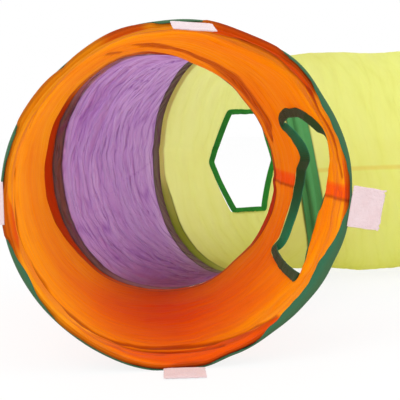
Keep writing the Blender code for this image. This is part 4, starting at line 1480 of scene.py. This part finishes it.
class TUNNEL_OT_arms(bpy.types.Operator):
    """Make the orange and the yellow arm's cloth"""

    bl_idname = "tunnel.arms"
    bl_label = "Arm cloths"

    def execute(self, context):
        lay_cloth("orange", 190, "orange", "orange_arm_panel", (GIRTH, 0.31), field=window_field,
                  axes=(np.array([0.0, 1.0, 0.0]), UP), shape=pressed_folds)
        lay_cloth("yellow", 140, "yellow", "yellow_arm_panel", (GIRTH, 0.35), shape=arm_drift)
        return {"FINISHED"}


class TUNNEL_OT_elbow(bpy.types.Operator):
    """Make the purple and the yellow wedge of the elbow"""

    bl_idname = "tunnel.elbow"
    bl_label = "Elbow cloths"

    def execute(self, context):
        corner = Corner()
        lay_cloth("purple", 170, "purple", "purple_elbow_panel", (GIRTH, 0.21))
        lay_cloth("elbow", 120, "yellow", "yellow_elbow_panel", (GIRTH, 0.19), field=corner.field,
                  axes=(corner.along, corner.up))
        return {"FINISHED"}


class TUNNEL_OT_tapes(bpy.types.Operator):
    """Make the casing tapes over the five hoops and their stitches"""

    bl_idname = "tunnel.tapes"
    bl_label = "Hoop tapes"

    def execute(self, context):
        for key, (before, after) in NEIGHBOURS.items():
            tape = casing(key + "_hoop_tape", HOOPS[key], before, after)
            finish = "sunlit_tape" if key == "outlet" else "woven_tape"
            mount(tape, finish, key, key + "_hoop_casing")
            sewn = casing_stitches(key + "_hoop_stitches", before, after)
            mount(sewn, "green_thread", key)
        return {"FINISHED"}


class TUNNEL_OT_wires(bpy.types.Operator):
    """Make the spring wires and their crimp sleeves"""

    bl_idname = "tunnel.wires"
    bl_label = "Hoop wires"

    def execute(self, context):
        for key, hoop in HOOPS.items():
            wire = wire_ring(key + "_spring_wire", hoop)
            mount(wire, "drawn_steel", key, key + "_hoop_wire")
            crimp = ferrule(key + "_crimp_sleeve", hoop)
            mount(crimp, "pressed_steel", key, key + "_hoop_ferrule")
        return {"FINISHED"}


class TUNNEL_OT_windows(bpy.types.Operator):
    """Make the bindings of the round and the six-sided window"""

    bl_idname = "tunnel.windows"
    bl_label = "Window bindings"

    def execute(self, context):
        side = round_binding(SLEEVES["orange"])
        # The side window's binding is the green tape painted darker as shade
        dress(side, "olive_tape")
        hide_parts("side_window_binding")
        follow(side, SLEEVES["orange"])
        hexagon = hexagon_binding(SLEEVES["elbow"], Corner())
        # The six-sided window's binding is the green tape painted brighter as light
        dress(hexagon, "bright_tape")
        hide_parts("corner_window_binding")
        follow(hexagon, SLEEVES["elbow"])
        return {"FINISHED"}


class TUNNEL_OT_tabs(bpy.types.Operator):
    """Make the hook-and-loop tabs of both mouths"""

    bl_idname = "tunnel.tabs"
    bl_label = "Tabs"

    def execute(self, context):
        for key, side, angle, stand, tilt in TABS:
            node = key + "_tab_" + side
            mount(tab(key, side, angle, stand, tilt), "white_pile", node, node)
        return {"FINISHED"}


STEPS = (
    TUNNEL_OT_stage,
    TUNNEL_OT_arms,
    TUNNEL_OT_elbow,
    TUNNEL_OT_tapes,
    TUNNEL_OT_wires,
    TUNNEL_OT_windows,
    TUNNEL_OT_tabs,
)


class TUNNEL_PT_sidebar(bpy.types.Panel):
    """The tunnel's settings and steps"""

    bl_idname = "TUNNEL_PT_sidebar"
    bl_label = "Pet Play Tunnel"
    bl_space_type = "VIEW_3D"
    bl_region_type = "UI"
    bl_category = "Tunnel"

    def draw(self, context):
        layout = self.layout
        for key in ("waist_draw", "wrinkle_depth", "columns"):
            layout.prop(context.scene.tunnel_sizes, key)
        for key in ("orange", "purple", "yellow", "green", "tab"):
            layout.prop(context.scene.tunnel_colours, key)
        for step in STEPS:
            layout.operator(step.bl_idname)


CLASSES = (TunnelSizes, TunnelColours) + STEPS + (TUNNEL_PT_sidebar,)


def register():
    for item in CLASSES:
        bpy.utils.register_class(item)
    bpy.types.Scene.tunnel_sizes = PointerProperty(type=TunnelSizes)
    bpy.types.Scene.tunnel_colours = PointerProperty(type=TunnelColours)


def unregister():
    del bpy.types.Scene.tunnel_colours
    del bpy.types.Scene.tunnel_sizes
    for item in reversed(CLASSES):
        bpy.utils.unregister_class(item)


def main():
    register()
    bpy.ops.tunnel.stage()
    bpy.ops.tunnel.arms()
    bpy.ops.tunnel.elbow()
    bpy.ops.tunnel.tapes()
    bpy.ops.tunnel.wires()
    bpy.ops.tunnel.windows()
    bpy.ops.tunnel.tabs()
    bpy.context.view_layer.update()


if __name__ == "__main__":
    main()
